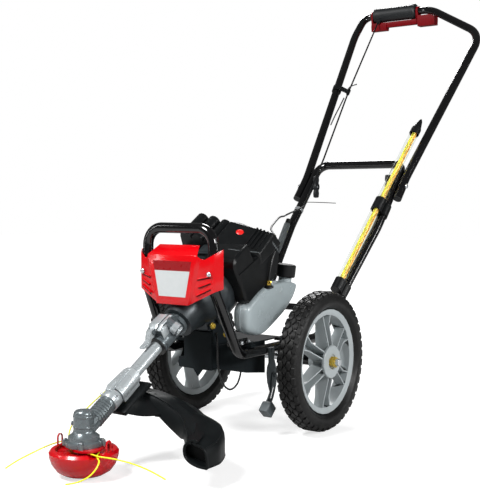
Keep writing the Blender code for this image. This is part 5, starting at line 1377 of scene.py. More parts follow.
@dataclass
class DebrisGuard:
    """The swept guard behind the head, with its arm, fold lines and rolled edge.

    Attributes:
        wall: Thickness of the moulding.
        rows: Number of rows along the sweep.
        low: Height of the outer wall's edge where it is deepest.
        first: Turn about the head's axis where the sweep starts, in degrees.
        sweep: How far it turns, in degrees.
        seat: Outline of the seat under the boom.
        beads: Index in the section, radius and rise of each bead along the sweep.
        folds: Where along the sweep the two fold lines start.
    """

    wall: float = 0.0028
    rows: int = 48
    low: float = 0.0402
    first: float = -6
    sweep: float = 84
    seat: Outline = ((-0.016, 0.078), (0.030, 0.078), (0.030, 0.165), (-0.016, 0.165))
    beads: Sequence[tuple[int, float, float]] = ((12, 0.0019, 0.0), (8, 0.0012, 0.0006), (2, 0.0014, 0.0))
    folds: tuple[float, float] = (0.16, 0.22)

    def head(self, radius: float, share: float, z: float) -> Vector:
        """A point about the head's axis: how far out, how far along the sweep and how high."""
        turn = math.radians(self.first + self.sweep * share)
        return PLAN.at(radius * math.sin(turn), PLAN.head_y + radius * math.cos(turn), z)

    def section(self, share: float) -> list[tuple[float, float]]:
        """Radius and height of each point across the guard, from its inner to its outer edge.

        Args:
            share: How far along the sweep, from 0 to 1.

        Returns:
            The points of the section.
        """
        inner = 0.138 + 0.060 * share + 0.010 * max(0.0, share - 0.8) / 0.2
        outer = 0.230 + 0.028 * eased(share, 0.50, 0.25) - 0.010 * max(0.0, share - 0.9) / 0.1
        middle = (inner + outer) / 2
        crown = 0.141 - 0.059 * share
        shoulder = 0.112 - 0.036 * share ** 2
        edge = self.low + 0.024 * (1 - eased(share, 0.10, 0.45))
        ridge = (crown + shoulder) / 2 + 0.006
        lip = math.sin(math.pi * risen(share, 0.22, 0.62)) ** 0.7 if share > 0.22 else 0.0
        return [(inner - 0.004 - 0.007 * lip, crown - 0.016 - 0.017 * lip), (inner - 0.0025, crown - 0.007),
                (inner + 0.003, crown - 0.001), (inner + 0.010, crown - 0.0005),
                (middle - 0.016, ridge + 0.0015), (middle + 0.002, ridge - 0.0005),
                (outer - 0.026, shoulder + 0.005), (outer - 0.012, shoulder + 0.0005),
                (outer - 0.0048, shoulder - 0.005), (outer - 0.0012, shoulder - 0.013),
                (outer, shoulder - 0.022), (outer, edge + 0.007), (outer, edge)]

    def on_section(self, share: float, index: int, along_by: float = 0.0, rise: float = 0.0) -> Vector:
        """One point of a section, moved along the sweep and up."""
        radius, height = self.section(share)[index]
        return self.head(radius, share + along_by, height + rise)

    def shell(self) -> Object:
        """The moulding itself, open at both ends.

        Returns:
            The moulding with its wall.
        """
        shape = bmesh.new()
        shares = [k / (self.rows - 1) for k in range(self.rows)]
        net(shape, [[self.head(r, share, z) for r, z in self.section(share)] for share in shares])
        made = from_bmesh(shape, "guard_shell", GUARD_NYLON, 32)
        modify(made, "wall", "SOLIDIFY", thickness=self.wall, offset=-1.0)
        return fresh_mesh(made, 32)

    def mouth(self, share: float) -> list[Vector]:
        """The closed outline of the cup at the far end.

        Args:
            share: How far along the sweep.

        Returns:
            The points of the outline.
        """
        section = self.section(share)
        rest = 1 - risen(share, 0.80, 0.20)
        (inner, foot), (outer, low) = section[0], section[-1]
        section += [(outer - 0.004, low - 0.0002), ((outer + inner) / 2 + 0.004, low + 0.012 * rest + 0.0015),
                    (inner + 0.010, low + 0.020 * rest + 0.008), (inner + 0.002, (foot + low) / 2 + 0.004)]
        return [self.head(r, share, z) for r, z in section]

    def cup(self) -> Object:
        """The closed end of the guard: a short skirt all the way round and a sunken wall in it.

        Returns:
            The cup.
        """
        rings = []
        for share, scale in ((0.86, 0.99), (0.93, 1.0), (1.0, 1.0), (1.0, 0.92), (0.95, 0.90)):
            ring = self.mouth(share)
            middle = sum(ring, Vector()) / len(ring)
            rings.append([middle.lerp(point, scale) for point in ring])
        shape = bmesh.new()
        loft(shape, rings)
        return from_bmesh(shape, "cup", GUARD_NYLON, 32)

    def arm(self) -> Object:
        """The web that joins the seat under the boom to the guard's inner edge.

        Returns:
            The web with its wall.
        """
        bow = Vector((0, 0, -0.004))
        rows = []
        for t in (k / 16 for k in range(17)):
            near = PLAN.on_line(0.0285, 0.163 - 0.083 * t, -0.0245)
            share = 0.02 + 0.36 * t
            radius, height = self.section(share)[0]
            far = self.head(radius + 0.003, share, height + 0.006)
            rows.append([near.lerp(far, j / 6) + bow * math.sin(math.pi * j / 6) for j in range(7)])
        shape = bmesh.new()
        net(shape, rows)
        made = from_bmesh(shape, "guard_arm", GUARD_NYLON, 40)
        modify(made, "wall", "SOLIDIFY", thickness=self.wall, offset=0.0)
        return fresh_mesh(made, 40)

    def build(self) -> None:
        """Make the shell, its arm, its seat and the beads along its edges."""
        parts = [self.shell(), self.cup(), self.arm(),
                 prism("seat", self.seat, -0.0300, -0.0215, GUARD_NYLON, PLAN.line_frame(), 0.0012)]
        for index, radius, rise in self.beads:
            sections = [(k / 40, *self.section(k / 40)[index]) for k in range(41)]
            line = [self.head(r - 0.001, share, z + rise) for share, r, z in sections]
            parts.append(swept("bead", line, radius, GUARD_NYLON, 10))
        mouth = self.mouth(1.0)
        parts.append(swept("rim", rounded([mouth[-1], *mouth, mouth[0]], 3), 0.0024, GUARD_NYLON, 10))
        for share in self.folds:
            parts.append(bar("fold", self.on_section(share, 3), self.on_section(share, 7, 0.02, 0.001),
                             0.0014, GUARD_NYLON, 0.0006, 12))
        settle(joined("swept_guard", parts), "boom", "debris_guard", slot="cover_black")


@dataclass
class GearCase:
    """The right angle gear case with its ringed neck, cap, flange and bolts.

    Attributes:
        rings: Where each ring of the neck starts, along the drive line.
        ring: Inner and outer radius of the rings.
        ring_height: Height of one ring.
        clamp: Start and end of the neck's clamp, along the drive line.
        bands: Heights of the bands round the case.
        cap: Profile of the cap.
        bolt_circle: Radius of the circle of the flange's bolts.
        bolt_z: Height of the flange.
        screw: Place of the clamp screws: across, along and above the drive line.
    """

    rings: Sequence[float] = (0.030, 0.036, 0.042, 0.048, 0.054, 0.060, 0.066)
    ring: tuple[float, float] = (0.0150, 0.0186)
    ring_height: float = 0.0036
    clamp: tuple[float, float] = (0.0755, 0.0968)
    bands: tuple[float, float] = (0.1075, 0.0885)
    cap: Outline = ((0.0, 0.1206), (0.0090, 0.1206), (0.0096, 0.1200), (0.0098, 0.1188), (0.0, 0.1188))
    bolt_circle: float = 0.034
    bolt_z: float = 0.066
    screw: tuple[float, float, float] = (0.0152, 0.086, 0.0100)

    def build(self) -> None:
        """Soften the CAD case and add the rings, the cap and the bolts."""
        neck = along(PLAN.on_line(0, 0), PLAN.on_line(0, 0.1))
        base = Matrix.Translation(PLAN.at(0, PLAN.head_y, 0))
        parts = [softened("gearbox", CAST_GREY, 0.0010)]
        parts += [collar("ring", self.ring, start, start + self.ring_height, (0.0006, 0.0004, 0.0012),
                         CAST_GREY, neck) for start in self.rings]
        parts.append(collar("clamp", (0.0150, 0.0194), *self.clamp, (0.0005, 0.0005, 0.0013), CAST_LIGHT, neck))
        parts.append(turned("cap", self.cap, CAST_GREY, base, 32))
        parts += [collar("band", (0.0170, 0.0198), z, z + 0.0034, (0.0004, 0.0004, 0.0012), CAST_GREY, base, 44)
                  for z in self.bands]
        for turn in (math.radians(35 + 90 * k) for k in range(4)):
            spot = PLAN.at(self.bolt_circle * math.cos(turn), PLAN.head_y + self.bolt_circle * math.sin(turn),
                           self.bolt_z)
            parts.append(bar("bolt", spot, spot + Vector((0, 0, 0.0026)), 0.0034, BRIGHT_STEEL, 0.0006, 6))
        across, *rest = self.screw
        for side in (1, -1):
            spot = PLAN.on_line(side * across, *rest)
            parts.append(bar("clamp screw", spot, spot + Vector((side * 0.0060, 0, 0.0015)), 0.0028,
                             BRIGHT_STEEL, 0.0005, 12))
        settle(joined("ringed_gear_case", parts), "boom", "gearbox", slot="cast_grey")


@dataclass
class Coupler:
    """The clamp between the boom and the clutch bell, with the light plates of its clamp block.

    Attributes:
        plate: Outline of the top plates, along and above the drive line.
        cheek: Outline of the near side's plate.
        spans: Both sides of each top plate, across the machine.
        sleeve: Both ends of the knob's sleeve: across, along and above the drive line.
        joints: Start, end and radius of each dark joint ring.
    """

    plate: Outline = ((0.2540, 0.0305), (0.2540, 0.0330), (0.2675, 0.0390), (0.3005, 0.0370),
                      (0.3030, 0.0340), (0.3000, 0.0340), (0.2680, 0.0360), (0.2560, 0.0300))
    cheek: Outline = ((0.2560, 0.0080), (0.2560, 0.0300), (0.2640, 0.0340), (0.2760, 0.0330),
                      (0.2760, 0.0120))
    spans: Sequence[tuple[float, float]] = ((-0.0178, 0.0034), (0.0070, 0.0150))
    sleeve: tuple[Point, Point] = ((0.014 + 0.7071 * 0.006, 0.287, 0.024 - 0.7071 * 0.006),
                                   (0.014 + 0.7071 * 0.0196, 0.287, 0.024 - 0.7071 * 0.0196))
    joints: Sequence[tuple[float, float, float]] = (
        (0.2425, 0.2455, 0.0202), (0.2520, 0.2532, 0.0199), (0.3040, 0.3065, 0.0199))

    def build(self) -> None:
        """Soften the casting and add its plates, sleeve and dark joint rings."""
        place = PLAN.line_frame() @ SIDE_ON
        # The casting takes the darker copy of cast aluminium, painted shade
        parts = [softened("coupler", CAST_DARK, 0.0008)]
        parts += [prism("plate", self.plate, low, high, CAST_LIGHT, place, 0.0006) for low, high in self.spans]
        parts.append(prism("cheek", self.cheek, 0.0138, 0.0156, CAST_LIGHT, place, 0.0006))
        low, high = self.sleeve
        parts.append(bar("sleeve", PLAN.on_line(*low), PLAN.on_line(*high), 0.0124, CAST_LIGHT, 0.0012))
        parts += [bar("ring", PLAN.on_line(0, start), PLAN.on_line(0, end), radius, CABLE_PVC, 0.0004)
                  for start, end, radius in self.joints]
        settle(joined("clamp_coupler", parts), "frame", "coupler", slot="light_cast")


@dataclass
class Tank:
    """The blow moulded tank: a domed body with a parting line and its neck.

    Attributes:
        inner: Inner side of the tank, from the middle plane.
        outer: Outer side.
        outline: Along and above the drive line, corner by corner.
        cuts: How far each round of cutting takes off the corners.
        dome: How much the sides draw in, as a share of the outline's size.
        seat: Top of the neck: across, along and above the drive line.
        neck: Profile of the neck.
    """

    inner: float = 0.0585
    outer: float = 0.1000
    outline: Outline = (
        (0.400, -0.078), (0.437, -0.121), (0.540, -0.131), (0.590, -0.124), (0.618, -0.110),
        (0.578, -0.075), (0.545, -0.058), (0.526, -0.044), (0.480, -0.036), (0.424, -0.036))
    cuts: Sequence[float] = (0.16, 0.22, 0.25)
    dome: float = 0.15
    seat: Point = (0.082, 0.6015, -0.0790)
    neck: Outline = ((0, 0), (0.0190, 0), (0.0168, 0.010), (0.0150, 0.018), (0.0145, 0.0385),
                     (0.0140, 0.040), (0, 0.040))

    def cut_corners(self) -> list[tuple[float, float]]:
        """The outline with its corners cut three times, which rounds them.

        Returns:
            The points of the rounded outline.
        """
        points = list(self.outline)
        for ratio in self.cuts:
            cut = []
            for (s0, t0), (s1, t1) in zip(points, [*points[1:], points[0]]):
                cut.append((s0 + (s1 - s0) * ratio, t0 + (t1 - t0) * ratio))
                cut.append((s1 - (s1 - s0) * ratio, t1 - (t1 - t0) * ratio))
            points = cut
        return points

    def body(self) -> Object:
        """The domed body, lofted from side to side.

        Returns:
            The closed body.
        """
        points = self.cut_corners()
        middle = (sum(p[0] for p in points) / len(points), sum(p[1] for p in points) / len(points))
        rings = []
        for u in (-math.cos(math.pi * k / 24) for k in range(25)):
            scale = 1.0 - self.dome * (1.0 - (1.0 - min(0.9999, abs(u)) ** 4.0) ** 0.5)
            x = (self.inner + self.outer) / 2 + u * (self.outer - self.inner) / 2
            rings.append([PLAN.on_line(x, middle[0] + (s - middle[0]) * scale,
                                       middle[1] + (t - middle[1]) * scale) for s, t in points])
        shape = bmesh.new()
        loft(shape, rings)
        return from_bmesh(shape, "tank_body", TANK_PE, 50)

    def build(self) -> None:
        """Make the body, its parting line and its neck and seat them."""
        points = self.cut_corners()
        seam = [PLAN.on_line((self.inner + self.outer) / 2, s, t) for s, t in (*points, points[0])]
        axis = Vector((0.12, 0.05 + math.sin(PLAN.boom_tilt), math.cos(PLAN.boom_tilt))).normalized()
        foot, top = (PLAN.on_line(*(Vector(self.seat) - axis * drop)) for drop in (0.040, 0.0))
        parts = [self.body(), swept("parting line", seam, 0.0009, TANK_PE, 8),
                 turned("neck", self.neck, TANK_PE, along(foot, top), 40)]
        settle(joined("blown_tank", parts), "frame", "fuel_tank", slot="tank_grey")


@dataclass
class Trimmings:
    """Small things that the photo shows on the tank and the handle: fitting, grommet, ties and wire.

    Attributes:
        grommet: Profile of the grommet in the tank.
        barb: Profile of the brass fitting.
        bracket: Outline of the angle bracket's foot on the deck, from the axle.
        upright: Outline of its upright.
        deck_bolts: Y of the bolts of the deck.
        beads: Both ends of each joint bead of the cover, from the axle.
        fin: First vent fin, from the axle.
        tail: Points of the tie's tail on the handle's plane.
        stay: Points of the loose stay.
        wire: Points of the thin wire on the lower leg.
        ring: Profile of the ring on the lower leg.
    """

    grommet: Outline = ((0, 0), (0.0105, 0), (0.0110, 0.0010), (0.0105, 0.0030), (0.0070, 0.0046),
                        (0.0068, 0.0060), (0, 0.0060))
    barb: Outline = ((0.0026, 0.0058), (0.0052, 0.0058), (0.0052, 0.0100), (0.0040, 0.0104), (0.0040, 0.0130),
                     (0.0048, 0.0136), (0.0040, 0.0156), (0.0026, 0.0160), (0.0026, 0.0058))
    bracket: Outline = ((0.0700, -0.1990), (0.0900, -0.1990), (0.0900, -0.1280), (0.0700, -0.1280))
    upright: Outline = ((0.0690, -0.1990), (0.0715, -0.1990), (0.0715, -0.1280), (0.0690, -0.1280))
    deck_bolts: Sequence[float] = (-0.190, -0.164, -0.138)
    beads: Sequence[tuple[Point, Point]] = (
        ((0.0585, -0.1777, 0.3996), (0.0885, -0.1809, 0.3975)),
        ((0.0800, -0.1303, 0.3929), (0.0964, -0.1208, 0.3911)))
    fin: Point = (0.0988, -0.0735, 0.4135)
    tail: Sequence[Point] = ((-0.1440, 0.372, 0.0165), (-0.1370, 0.3800, 0.020), (-0.1270, 0.3850, 0.021),
                             (-0.1175, 0.3890, 0.020))
    stay: Sequence[Point] = ((-0.1418, 0.3360, 0.017), (-0.1400, 0.3000, 0.0195), (-0.1415, 0.2600, 0.019),
                             (-0.1470, 0.2300, 0.0115))
    wire: Sequence[Point] = ((-0.1190, -0.0740, 0.0135), (-0.1050, -0.0700, 0.0150),
                             (-0.0600, -0.0705, 0.0150), (-0.0130, -0.0720, 0.0140))
    ring: Outline = ((0.0111, 0), (0.0121, 0.0004), (0.0121, 0.0076), (0.0111, 0.0080), (0.0111, 0))

    def tank(self) -> None:
        """The brass fitting in its rubber grommet at the foot of the fuel hose."""
        foot = Vector(FUEL_ROUTE[0])
        axis = (Vector(FUEL_ROUTE[1]) - foot).normalized()
        place = along(foot - axis * 0.004, foot + axis)
        bend = foot + axis * 0.006
        settle(joined("tank_fitting", [
            turned("grommet", self.grommet, GRIP_RUBBER, place, 32), turned("barb", self.barb, BRASS, place, 6),
            bar("elbow", bend, bend + Vector((0.010, -0.006, 0.003)), 0.0022, BRASS, 0.0005, 16)]), "frame")

    def deck(self) -> None:
        """The angle bracket and the bolts on the near side of the deck."""
        flat = Matrix.Translation(PLAN.at(0, 0, 0))
        parts = [prism("bracket", self.bracket, 0.1988, 0.2016, TUBE_COAT, flat, 0.0006),
                 prism("upright", self.upright, 0.1988, 0.2095, TUBE_COAT, flat, 0.0006)]
        for y in self.deck_bolts:
            spot = PLAN.at(0.0810, y, 0.2014)
            parts.append(bar("washer", spot, spot + Vector((0, 0, 0.0014)), 0.0058, BRIGHT_STEEL, 0.0003, 24))
            parts.append(bar("bolt", spot, spot + Vector((0, 0, 0.0052)), 0.0042, BRIGHT_STEEL, 0.0008, 6))
        settle(joined("deck_bracket", parts), "frame")

    def seams(self) -> None:
        """The joint beads and the vent fins of the near engine cover, coloured lighter grey as painted
        highlights.
        """
        parts = [swept("bead", [PLAN.at(*end) for end in ends], 0.0008, PAINTED_HIGHLIGHT_NYLON, 10) for ends in self.beads]
        x, y, z = self.fin
        for share in (k / 4 for k in range(5)):
            spot = PLAN.at(x, y + 0.020 * share, z - 0.016 * share)
            parts.append(bar("fin", spot, spot + Vector((0.0002, 0.0020, -0.0085)), 0.0010, PAINTED_HIGHLIGHT_NYLON,
                             0.0004, 12))
        settle(joined("cover_seams", parts), "frame")

    def wired(self, name: str, points: Sequence[Point], radius: float, finish: Finish, steps: int,
              sides: int) -> Object:
        """A stiff wire through points of the handle's plane.

        Args:
            name: Name of the wire.
            points: Across, up from the fold and out of the plane, for each point.
            radius: Its radius.
            finish: Its finish.
            steps: Number of steps between two points.
            sides: Number of its sides.

        Returns:
            The wire.
        """
        return swept(name, rounded([PLAN.on_handle(*point) for point in points], steps), radius, finish, sides)

    def handle(self) -> None:
        """The guide's tie with its tail, and the loose stay beside it."""
        settle(joined("guide_tie", [self.wired("tail", self.tail, 0.0017, CABLE_PVC, 4, 12),
                                    self.wired("stay", self.stay, 0.0018, CABLE_PVC, 6, 12)]), "handle")

    def frame_ring(self) -> None:
        """The silvery ring and the thin stiff wire on the far lower leg."""
        leg = TubeFrame().leg_half(-0.085)
        place = along(PLAN.on_handle(-leg, -0.0895), PLAN.on_handle(-leg, -0.0815))
        settle(joined("leg_ring", [turned("ring", self.ring, BRIGHT_STEEL, place, 40),
                                   self.wired("wire", self.wire, 0.0010, SHADOW, 6, 10)]), "frame")

    def build(self) -> None:
        """Make and seat all of them."""
        for make in (self.tank, self.deck, self.seams, self.handle, self.frame_ring):
            make()


@dataclass
class DriveTube:
    """The aluminium boom tube.

    Attributes:
        radii: Inner and outer radius.
        start: Its lower end, along the drive line.
        end: Its upper end.
    """

    radii: tuple[float, float] = (0.0115, 0.013)
    start: float = 0.0625
    end: float = 0.300

    def build(self) -> None:
        """Turn the tube and seat it."""
        tube = pipe("boom_alloy", PLAN.on_line(0, self.start), PLAN.on_line(0, self.end), self.radii,
                    BOOM_ALLOY, 0.0004, 48)
        settle(tube, "boom", "boom_tube", slot="boom_silver")


@dataclass
class LineStore:
    """The clear tube with the spare cutting lines.

    Attributes:
        radius: Outer radius of the tube.
        wall: Its wall.
        low: Lower end, up from the fold.
        top: Upper end.
        line: Radius of a spare line.
        swing: How far a line wanders across the tube.
        amber: Side, rise, finish and phase of the amber line.
        yellow: The same of each yellow line, row by row.
    """

    radius: float = 0.0118
    wall: float = 0.0012
    low: float = -0.350
    top: float = 0.176
    line: float = 0.00135
    swing: float = 0.0002
    amber: tuple = ((0.0066, 0.0012, LINE_AMBER, 0.0),)
    yellow: tuple = tuple(
        (-0.0030 + 0.0028 * k + 0.0012 * (row % 2), 0.0034 - 0.0032 * row,
         (LINE_STRAW, LINE_YELLOW, LINE_STRAW, LINE_STRAW)[k], 0.13 * (3 * k + row))
        for row, count in enumerate((4, 3, 4)) for k in range(count))

    def point(self, u: float, rise: float = 0.0, side: float = 0.0) -> Vector:
        """A point on the axis of the tube, or beside it."""
        return PLAN.on_handle(0.1030 + 0.064 * (u - self.low) + side, u, 0.0235 + rise)

    def build(self) -> None:
        """Make the tube and the lines in it."""
        tube = pipe("clear_store", self.point(self.low), self.point(self.top),
                    (self.radius - self.wall, self.radius), CLEAR_TUBE)
        settle(tube, "frame", "storage_tube", slot="clear_tube")
        for name, node, slot, strands in (("spare_amber", "spare_line_a", "line_amber", self.amber),
                                          ("spare_yellow", "spare_line_b", "line_yellow", self.yellow)):
            runs = [self.strand(f"{name}_{k}", *strand) for k, strand in enumerate(strands)]
            settle(joined(name, runs), "frame", node, slot=slot)

    def strand(self, name: str, side: float, rise: float, finish: Finish, wander: float) -> Object:
        """One spare line, which wanders a little along the tube.

        Args:
            name: Name of the line.
            side: Its mean place across the tube.
            rise: Its mean place above the tube's axis.
            finish: Its finish.
            wander: Phase of its wandering.

        Returns:
            The line.
        """
        path = []
        for share in (k / 32 for k in range(33)):
            u = self.low + 0.004 + share * (self.top - self.low - 0.012)
            path.append(self.point(u, rise, side + self.swing * math.sin(FULL_TURN * (1.5 * share + wander))))
        return swept(name, path, self.line, finish, 12)


def route(*tenths: int) -> list[tuple[float, float, float]]:
    """The points of a route, whose X, Y and Z are given in tenths of a millimetre."""
    metres = [value / TENTHS_PER_METRE for value in tenths]
    return list(zip(metres[::3], metres[1::3], metres[2::3]))


THROTTLE_ROUTE = route(
    -1716, 7546, 10557, -1466, 5281, 8251, -1466, 5277, 8247, -1448, 5121, 8086, -1445, 5104, 8069,
    -1128, 3243, 6174, -1122, 3204, 6135, -1116, 3165, 6098, -931, 1931, 4925, -934, 1888, 4883,
    -954, 1849, 4841, -991, 1818, 4804, -1040, 1797, 4775, -1191, 1757, 4708, -1251, 1728, 4678,
    -1297, 1680, 4648, -1324, 1617, 4621, -1328, 1547, 4601, -1310, 1477, 4590, -1259, 1364, 4590,
    -1188, 1209, 4591, -1110, 1036, 4589, -1036, 871, 4580, -975, 723, 4560, -918, 577, 4533,
    -856, 423, 4502, -778, 251, 4470, -718, 123, 4448, -652, -17, 4426, -582, -162, 4402, -506, -310, 4378,
    -424, -457, 4354, -336, -599, 4330, -253, -714, 4308, -160, -827, 4283, -62, -938, 4257,
    38, -1050, 4232, 136, -1163, 4211, 229, -1278, 4197, 314, -1399, 4190, 400, -1545, 4195,
    478, -1697, 4210, 551, -1852, 4232, 621, -2009, 4258, 691, -2166, 4284, 764, -2321, 4306)
LEAD_ROUTE = route(
    352, -3679, 2240, 372, -3739, 2220, 464, -3829, 2120, 494, -3849, 1900, 492, -3851, 1761,
    484, -3829, 1600, 474, -3756, 1394, 464, -3649, 1200, 454, -3507, 1070, 444, -3349, 1000,
    429, -3180, 1011, 414, -3029, 1080, 402, -2930, 1201, 394, -2869, 1350, 387, -2844, 1497,
    384, -2839, 1650, 383, -2837, 1805, 384, -2839, 1962)
FUEL_ROUTE = route(
    949, -2625, 3185, 956, -2639, 3282, 961, -2635, 3375, 968, -2622, 3482, 973, -2595, 3587,
    978, -2560, 3685, 979, -2522, 3763, 980, -2484, 3827, 980, -2420, 3914)
LINE_ROUTES = (route(
    1664, -6949, 140, 1544, -7019, 217, 1414, -7089, 290, 1250, -7151, 350, 1084, -7219, 400,
    937, -7309, 443, 804, -7394, 475, 584, -7484, 496, 364, -7454, 496, 242, -7442, 496, 114, -7434, 496,
    -25, -7443, 496, -156, -7434, 496, -264, -7364, 496, -356, -7269, 496, -436, -7159, 496,
    -506, -7059, 496, -636, -6959, 496, -776, -7009, 480, -840, -7112, 464, -896, -7249, 440,
    -935, -7407, 405, -976, -7569, 360, -1043, -7711, 305, -1126, -7829, 240, -1228, -7897, 163,
    -1336, -7949, 80),
               route(
    214, -7939, 45, 424, -7884, 100, 604, -7789, 200, 709, -7709, 330, 694, -7599, 440, 564, -7499, 463,
    434, -7389, 463, 352, -7269, 463, 264, -7149, 463, 84, -7034, 463, -34, -7022, 463, -156, -7024, 463,
    -376, -7009, 463, -596, -6979, 463, -756, -6889, 490, -866, -6790, 553, -966, -6629, 650,
    -998, -6504, 714, -1021, -6355, 789, -1037, -6192, 870, -1046, -6029, 950, -1049, -5898, 1014,
    -1046, -5762, 1080, -1039, -5624, 1147, -1032, -5486, 1214, -1026, -5349, 1280))


@dataclass
class Cables:
    """The throttle cable, the hoses, the ribbed sleeve and the cutting lines.

    Attributes:
        cable: Radius of the throttle cable.
        hose: Radius of the hose under the pan.
        fuel: Radius of the fuel hose.
        line: Radius of the cutting lines.
        rope: Radius of the starter's rope.
        bend: Where the cable's bend starts and ends, on the handle's plane; not used.
        rope_ends: Both ends of the starter's rope, on the drive line.
        sleeve: Start and end of the ribbed sleeve, up from the fold.
        sleeve_rise: Its height over the leg's centre.
        sleeve_ribs: Number of its ribs.
        plain: Length of its plain ends together.
    """

    cable: float = 0.0023
    hose: float = 0.002
    fuel: float = 0.0022
    line: float = 0.00135
    rope: float = 0.0016
    bend: tuple[Point, Point] = ((-0.12, -0.03, 0.02), (-0.12, 0.30, 0.02))
    rope_ends: tuple[Point, Point] = ((-0.030, 0.6000, 0.030), (-0.030, 0.6185, 0.030))
    sleeve: tuple[float, float] = (-0.138, -0.262)
    sleeve_rise: float = 0.011 + 0.0085 + 0.0003
    sleeve_ribs: int = 24
    plain: float = 0.030

    def length(self, path: Sequence[Point]) -> float:
        """The length of a path."""
        return sum((Vector(b) - Vector(a)).length for a, b in zip(path, path[1:]))

    def run(self, name: str, route: Sequence[Point], radius: float, node: str) -> None:
        """Args:
            name: Name of the piece.
            route: The points that its centreline passes through.
            radius: Its radius.
            node: The CAD node that it stands for.
        """
        path = rounded(route, 3)
        piece = swept(name, path, radius, CABLE_PVC, 14)
        settle(piece, "frame", node, slot="tyre_black")

    def throttle(self) -> None:
        """The throttle cable, swept along its route in one piece, on no body, in place of the CAD cable."""
        path = [Vector(point) for point in THROTTLE_ROUTE]
        dense = []
        for a, b in zip(path, path[1:]):
            count = max(1, round((b - a).length / 0.012))
            dense += [a.lerp(b, k / count) for k in range(count)]
        dense.append(path[-1])
        piece = swept("throttle_jacket", dense, self.cable, CABLE_PVC, 14)
        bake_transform(piece)
        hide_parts("throttle_cable")
        LOG.info("%s bends between frame and handle", piece.name)

    def starter(self) -> None:
        """The rope of the pull starter, swept straight between its two ends, on no body."""
        low, high = (PLAN.on_line(*end) for end in self.rope_ends)
        piece = swept("starter_rope", [low.lerp(high, k / 24) for k in range(25)], self.rope, STARTER_CORD, 12)
        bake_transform(piece)
        LOG.info("%s is drawn out between frame and starter_grip", piece.name)

    def loom(self) -> Object:
        """The ribbed sleeve on the far lower leg, whose ribs are a row of copies.

        Returns:
            The sleeve.
        """
        tube = TubeFrame()
        start, end = (PLAN.on_handle(-tube.leg_half(u), u, self.sleeve_rise) for u in self.sleeve)
        core = pipe("core", start, end, (0.0052, 0.0071), CABLE_PVC, steps=28)
        step = ((end - start).length - self.plain) / self.sleeve_ribs
        profile = [(0.0068, 0), (0.0078, 0.0004), (0.0085, 0.0011), (0.0085, step - 0.0024),
                   (0.0078, step - 0.0017), (0.0068, step - 0.0013), (0.0068, 0)]
        # The ribs are lighter grey, a painted highlight on the black sleeve
        rib = turned("rib", profile, PAINTED_HIGHLIGHT_NYLON, Matrix.Translation((0, 0, self.plain / 2)), 28)
        ribs = ROW.use(rib, PAINTED_HIGHLIGHT_NYLON, Count=self.sleeve_ribs, Step=(0.0, 0.0, step))
        ribs.data.transform(along(start, end))
        return joined("ribbed_sleeve", [core, ribs])

    def build(self) -> None:
        """Make every cable and line, and seat all but the throttle cable and the starter's rope."""
        self.throttle()
        self.starter()
        settle(self.loom(), "frame", "cable_loom", slot="tyre_black")
        self.run("pan_hose", LEAD_ROUTE, self.hose, "engine_lead")
        self.run("fuel_hose", FUEL_ROUTE, self.fuel, "fuel_line")
        for k, route in enumerate(LINE_ROUTES, start=1):
            piece = swept(f"cutting_line_{k}", rounded(route, 3), self.line, LINE_YELLOW, 12)
            settle(piece, "head", f"line_{k}", slot="line_yellow")


@dataclass(frozen=True)
class Lamp:
    """One soft box.

    Attributes:
        name: Name of the lamp.
        place: Where it hangs.
        aim: What it shines on.
        size: Its width and height.
        power: Its power in watts.
    """

    name: str
    place: Point
    aim: Point
    size: tuple[float, float]
    power: float

    def build(self) -> None:
        """Hang the lamp."""
        data = bpy.data.lights.new(self.name, "AREA")
        data.shape = "RECTANGLE"
        data.size, data.size_y = self.size
        data.energy = self.power
        aimed(linked(self.name, data), self.place, Vector(self.aim) - Vector(self.place))


def aimed(obj: Object, place: Point, sight: Vector) -> None:
    """Put a lamp or camera somewhere and turn it.

    Args:
        obj: The lamp or camera.
        place: Where it goes.
        sight: The direction that it looks in.
    """
    obj.location = place
    obj.rotation_mode = "QUATERNION"
    obj.rotation_quaternion = sight.to_track_quat("-Z", "Y")


def bare_tree(owner: bpy.types.ID) -> tuple[NodeTree, NodeSocket]:
    """Empty the tree of a material or world, and find the rays of the camera in it.

    Args:
        owner: The material or world.

    Returns:
        The tree, and a socket that is one for the camera and through glass.
    """
    owner.use_nodes = True
    tree = owner.node_tree
    tree.nodes.clear()
    path = add(tree, "ShaderNodeLightPath").outputs
    return tree, math_node(tree, "MAXIMUM", path["Is Camera Ray"], path["Is Transmission Ray"])


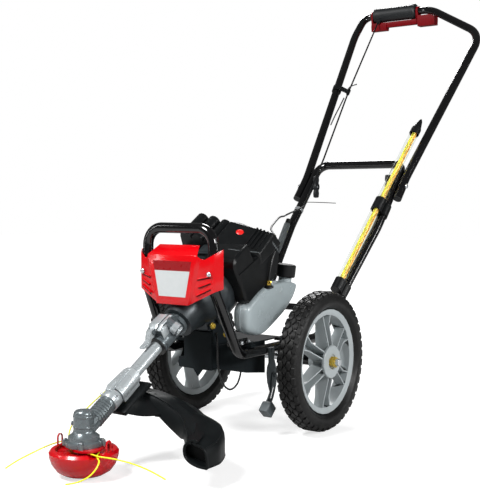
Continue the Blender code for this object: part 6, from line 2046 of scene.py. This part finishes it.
@dataclass
class Studio:
    """Floor, lights and camera.

    Attributes:
        azimuth: Direction of the view round the machine.
        pitch: How far it looks down.
        eye: Where the camera stands.
        lens: Focal length.
        sensor: Width of the sensor.
        lamps: The lamps.
        floor_size: Half the width of the floor.
        floor_z: Its height.
    """

    azimuth: float = 0.6165
    pitch: float = 0.0476
    eye: tuple[float, float, float] = (1.229157, -1.969855, 0.5046)
    lens: float = 70.56
    sensor: float = 36.0
    lamps: Sequence[Lamp] = (
        Lamp("key", (-0.5, -2.5, 2.9), (0, -0.1, 0.35), (0.9, 0.9), 150),
        Lamp("fill", (3.0, -1.0, 1.6), (0, 0, 0.35), (0.8, 0.8), 80),
        Lamp("rim", (-1.4, 2.4, 2.4), (0, 0, 0.5), (0.9, 0.9), 55),
        Lamp("left strip", (-1.9, -1.9, 1.2), (0, 0.4, 0.8), (0.09, 1.8), 9),
        Lamp("right strip", (2.6, 0.9, 1.1), (0, 0.2, 0.7), (0.12, 1.8), 20))
    floor_size: float = 9.0
    floor_z: float = -0.0006

    def camera(self) -> None:
        """Put the camera where the photographer stood."""
        data = bpy.data.cameras.new("photo view")
        data.lens = self.lens
        data.sensor_width = self.sensor
        obj = linked("photo view", data)
        back = Vector((math.sin(self.azimuth) * math.cos(self.pitch),
                       -math.cos(self.azimuth) * math.cos(self.pitch), math.sin(self.pitch)))
        aimed(obj, self.eye, -back)
        bpy.context.scene.camera = obj

    def world(self) -> None:
        """White for the camera, for reflections and through glass; a soft level for the rest."""
        world = bpy.data.worlds.new("studio")
        bpy.context.scene.world = world
        tree, seen = bare_tree(world)
        level = ranged(tree, seen, 0.0, 1.0, 0.10, 1.0)
        sky = add(tree, "ShaderNodeBackground", {"Color": (1.0, 1.0, 1.0, 1.0), "Strength": level})
        add(tree, "ShaderNodeOutputWorld", {"Surface": sky.outputs[0]})

    def floor(self) -> None:
        """A plain pale floor that keeps the shadow and fades into the white behind it."""
        shape = bmesh.new()
        bmesh.ops.create_grid(shape, x_segments=1, y_segments=1, size=self.floor_size)
        material = bpy.data.materials.new("pale_studio_floor")
        obj = poured(shape, "studio_floor", [material])
        obj.location = (0, 0, self.floor_z)
        tree, seen = bare_tree(material)
        dust = add(tree, "ShaderNodeTexNoise", {"Scale": 4.0, "Detail": 3.0}).outputs[0]
        matt = add(tree, "ShaderNodeBsdfDiffuse", {"Color": mixed(tree, dust, linear("#b4b4b4"),
                                                                  linear("#bababa"))})
        spot = add(tree, "ShaderNodeTexCoord").outputs["Object"]
        reach = add(tree, "ShaderNodeVectorMath", {0: spot}, operation="LENGTH").outputs["Value"]
        glow = add(tree, "ShaderNodeEmission", {
            "Strength": math_node(tree, "MULTIPLY", seen, ranged(tree, reach, 0.9, 2.6, 0.66, 1.0))})
        both = add(tree, "ShaderNodeAddShader", {0: matt.outputs[0], 1: glow.outputs[0]})
        add(tree, "ShaderNodeOutputMaterial", {"Surface": both.outputs[0]})

    def build(self) -> None:
        """Set up the studio."""
        self.camera()
        self.world()
        self.floor()
        for lamp in self.lamps:
            lamp.build()
        bpy.context.scene.view_settings.view_transform = "Standard"


def main() -> None:
    """Build the studio and every sub-assembly."""
    logging.basicConfig(level=logging.INFO, format="%(message)s")
    Studio().build()
    TubeFrame().build()
    for side in Side:
        Wheel(side).build()
    Plainware().build()
    FrontGuard().build()
    DebrisGuard().build()
    GearCase().build()
    Coupler().build()
    Tank().build()
    Trimmings().build()
    DriveTube().build()
    LineStore().build()
    Cables().build()


if __name__ == "__main__":
    main()
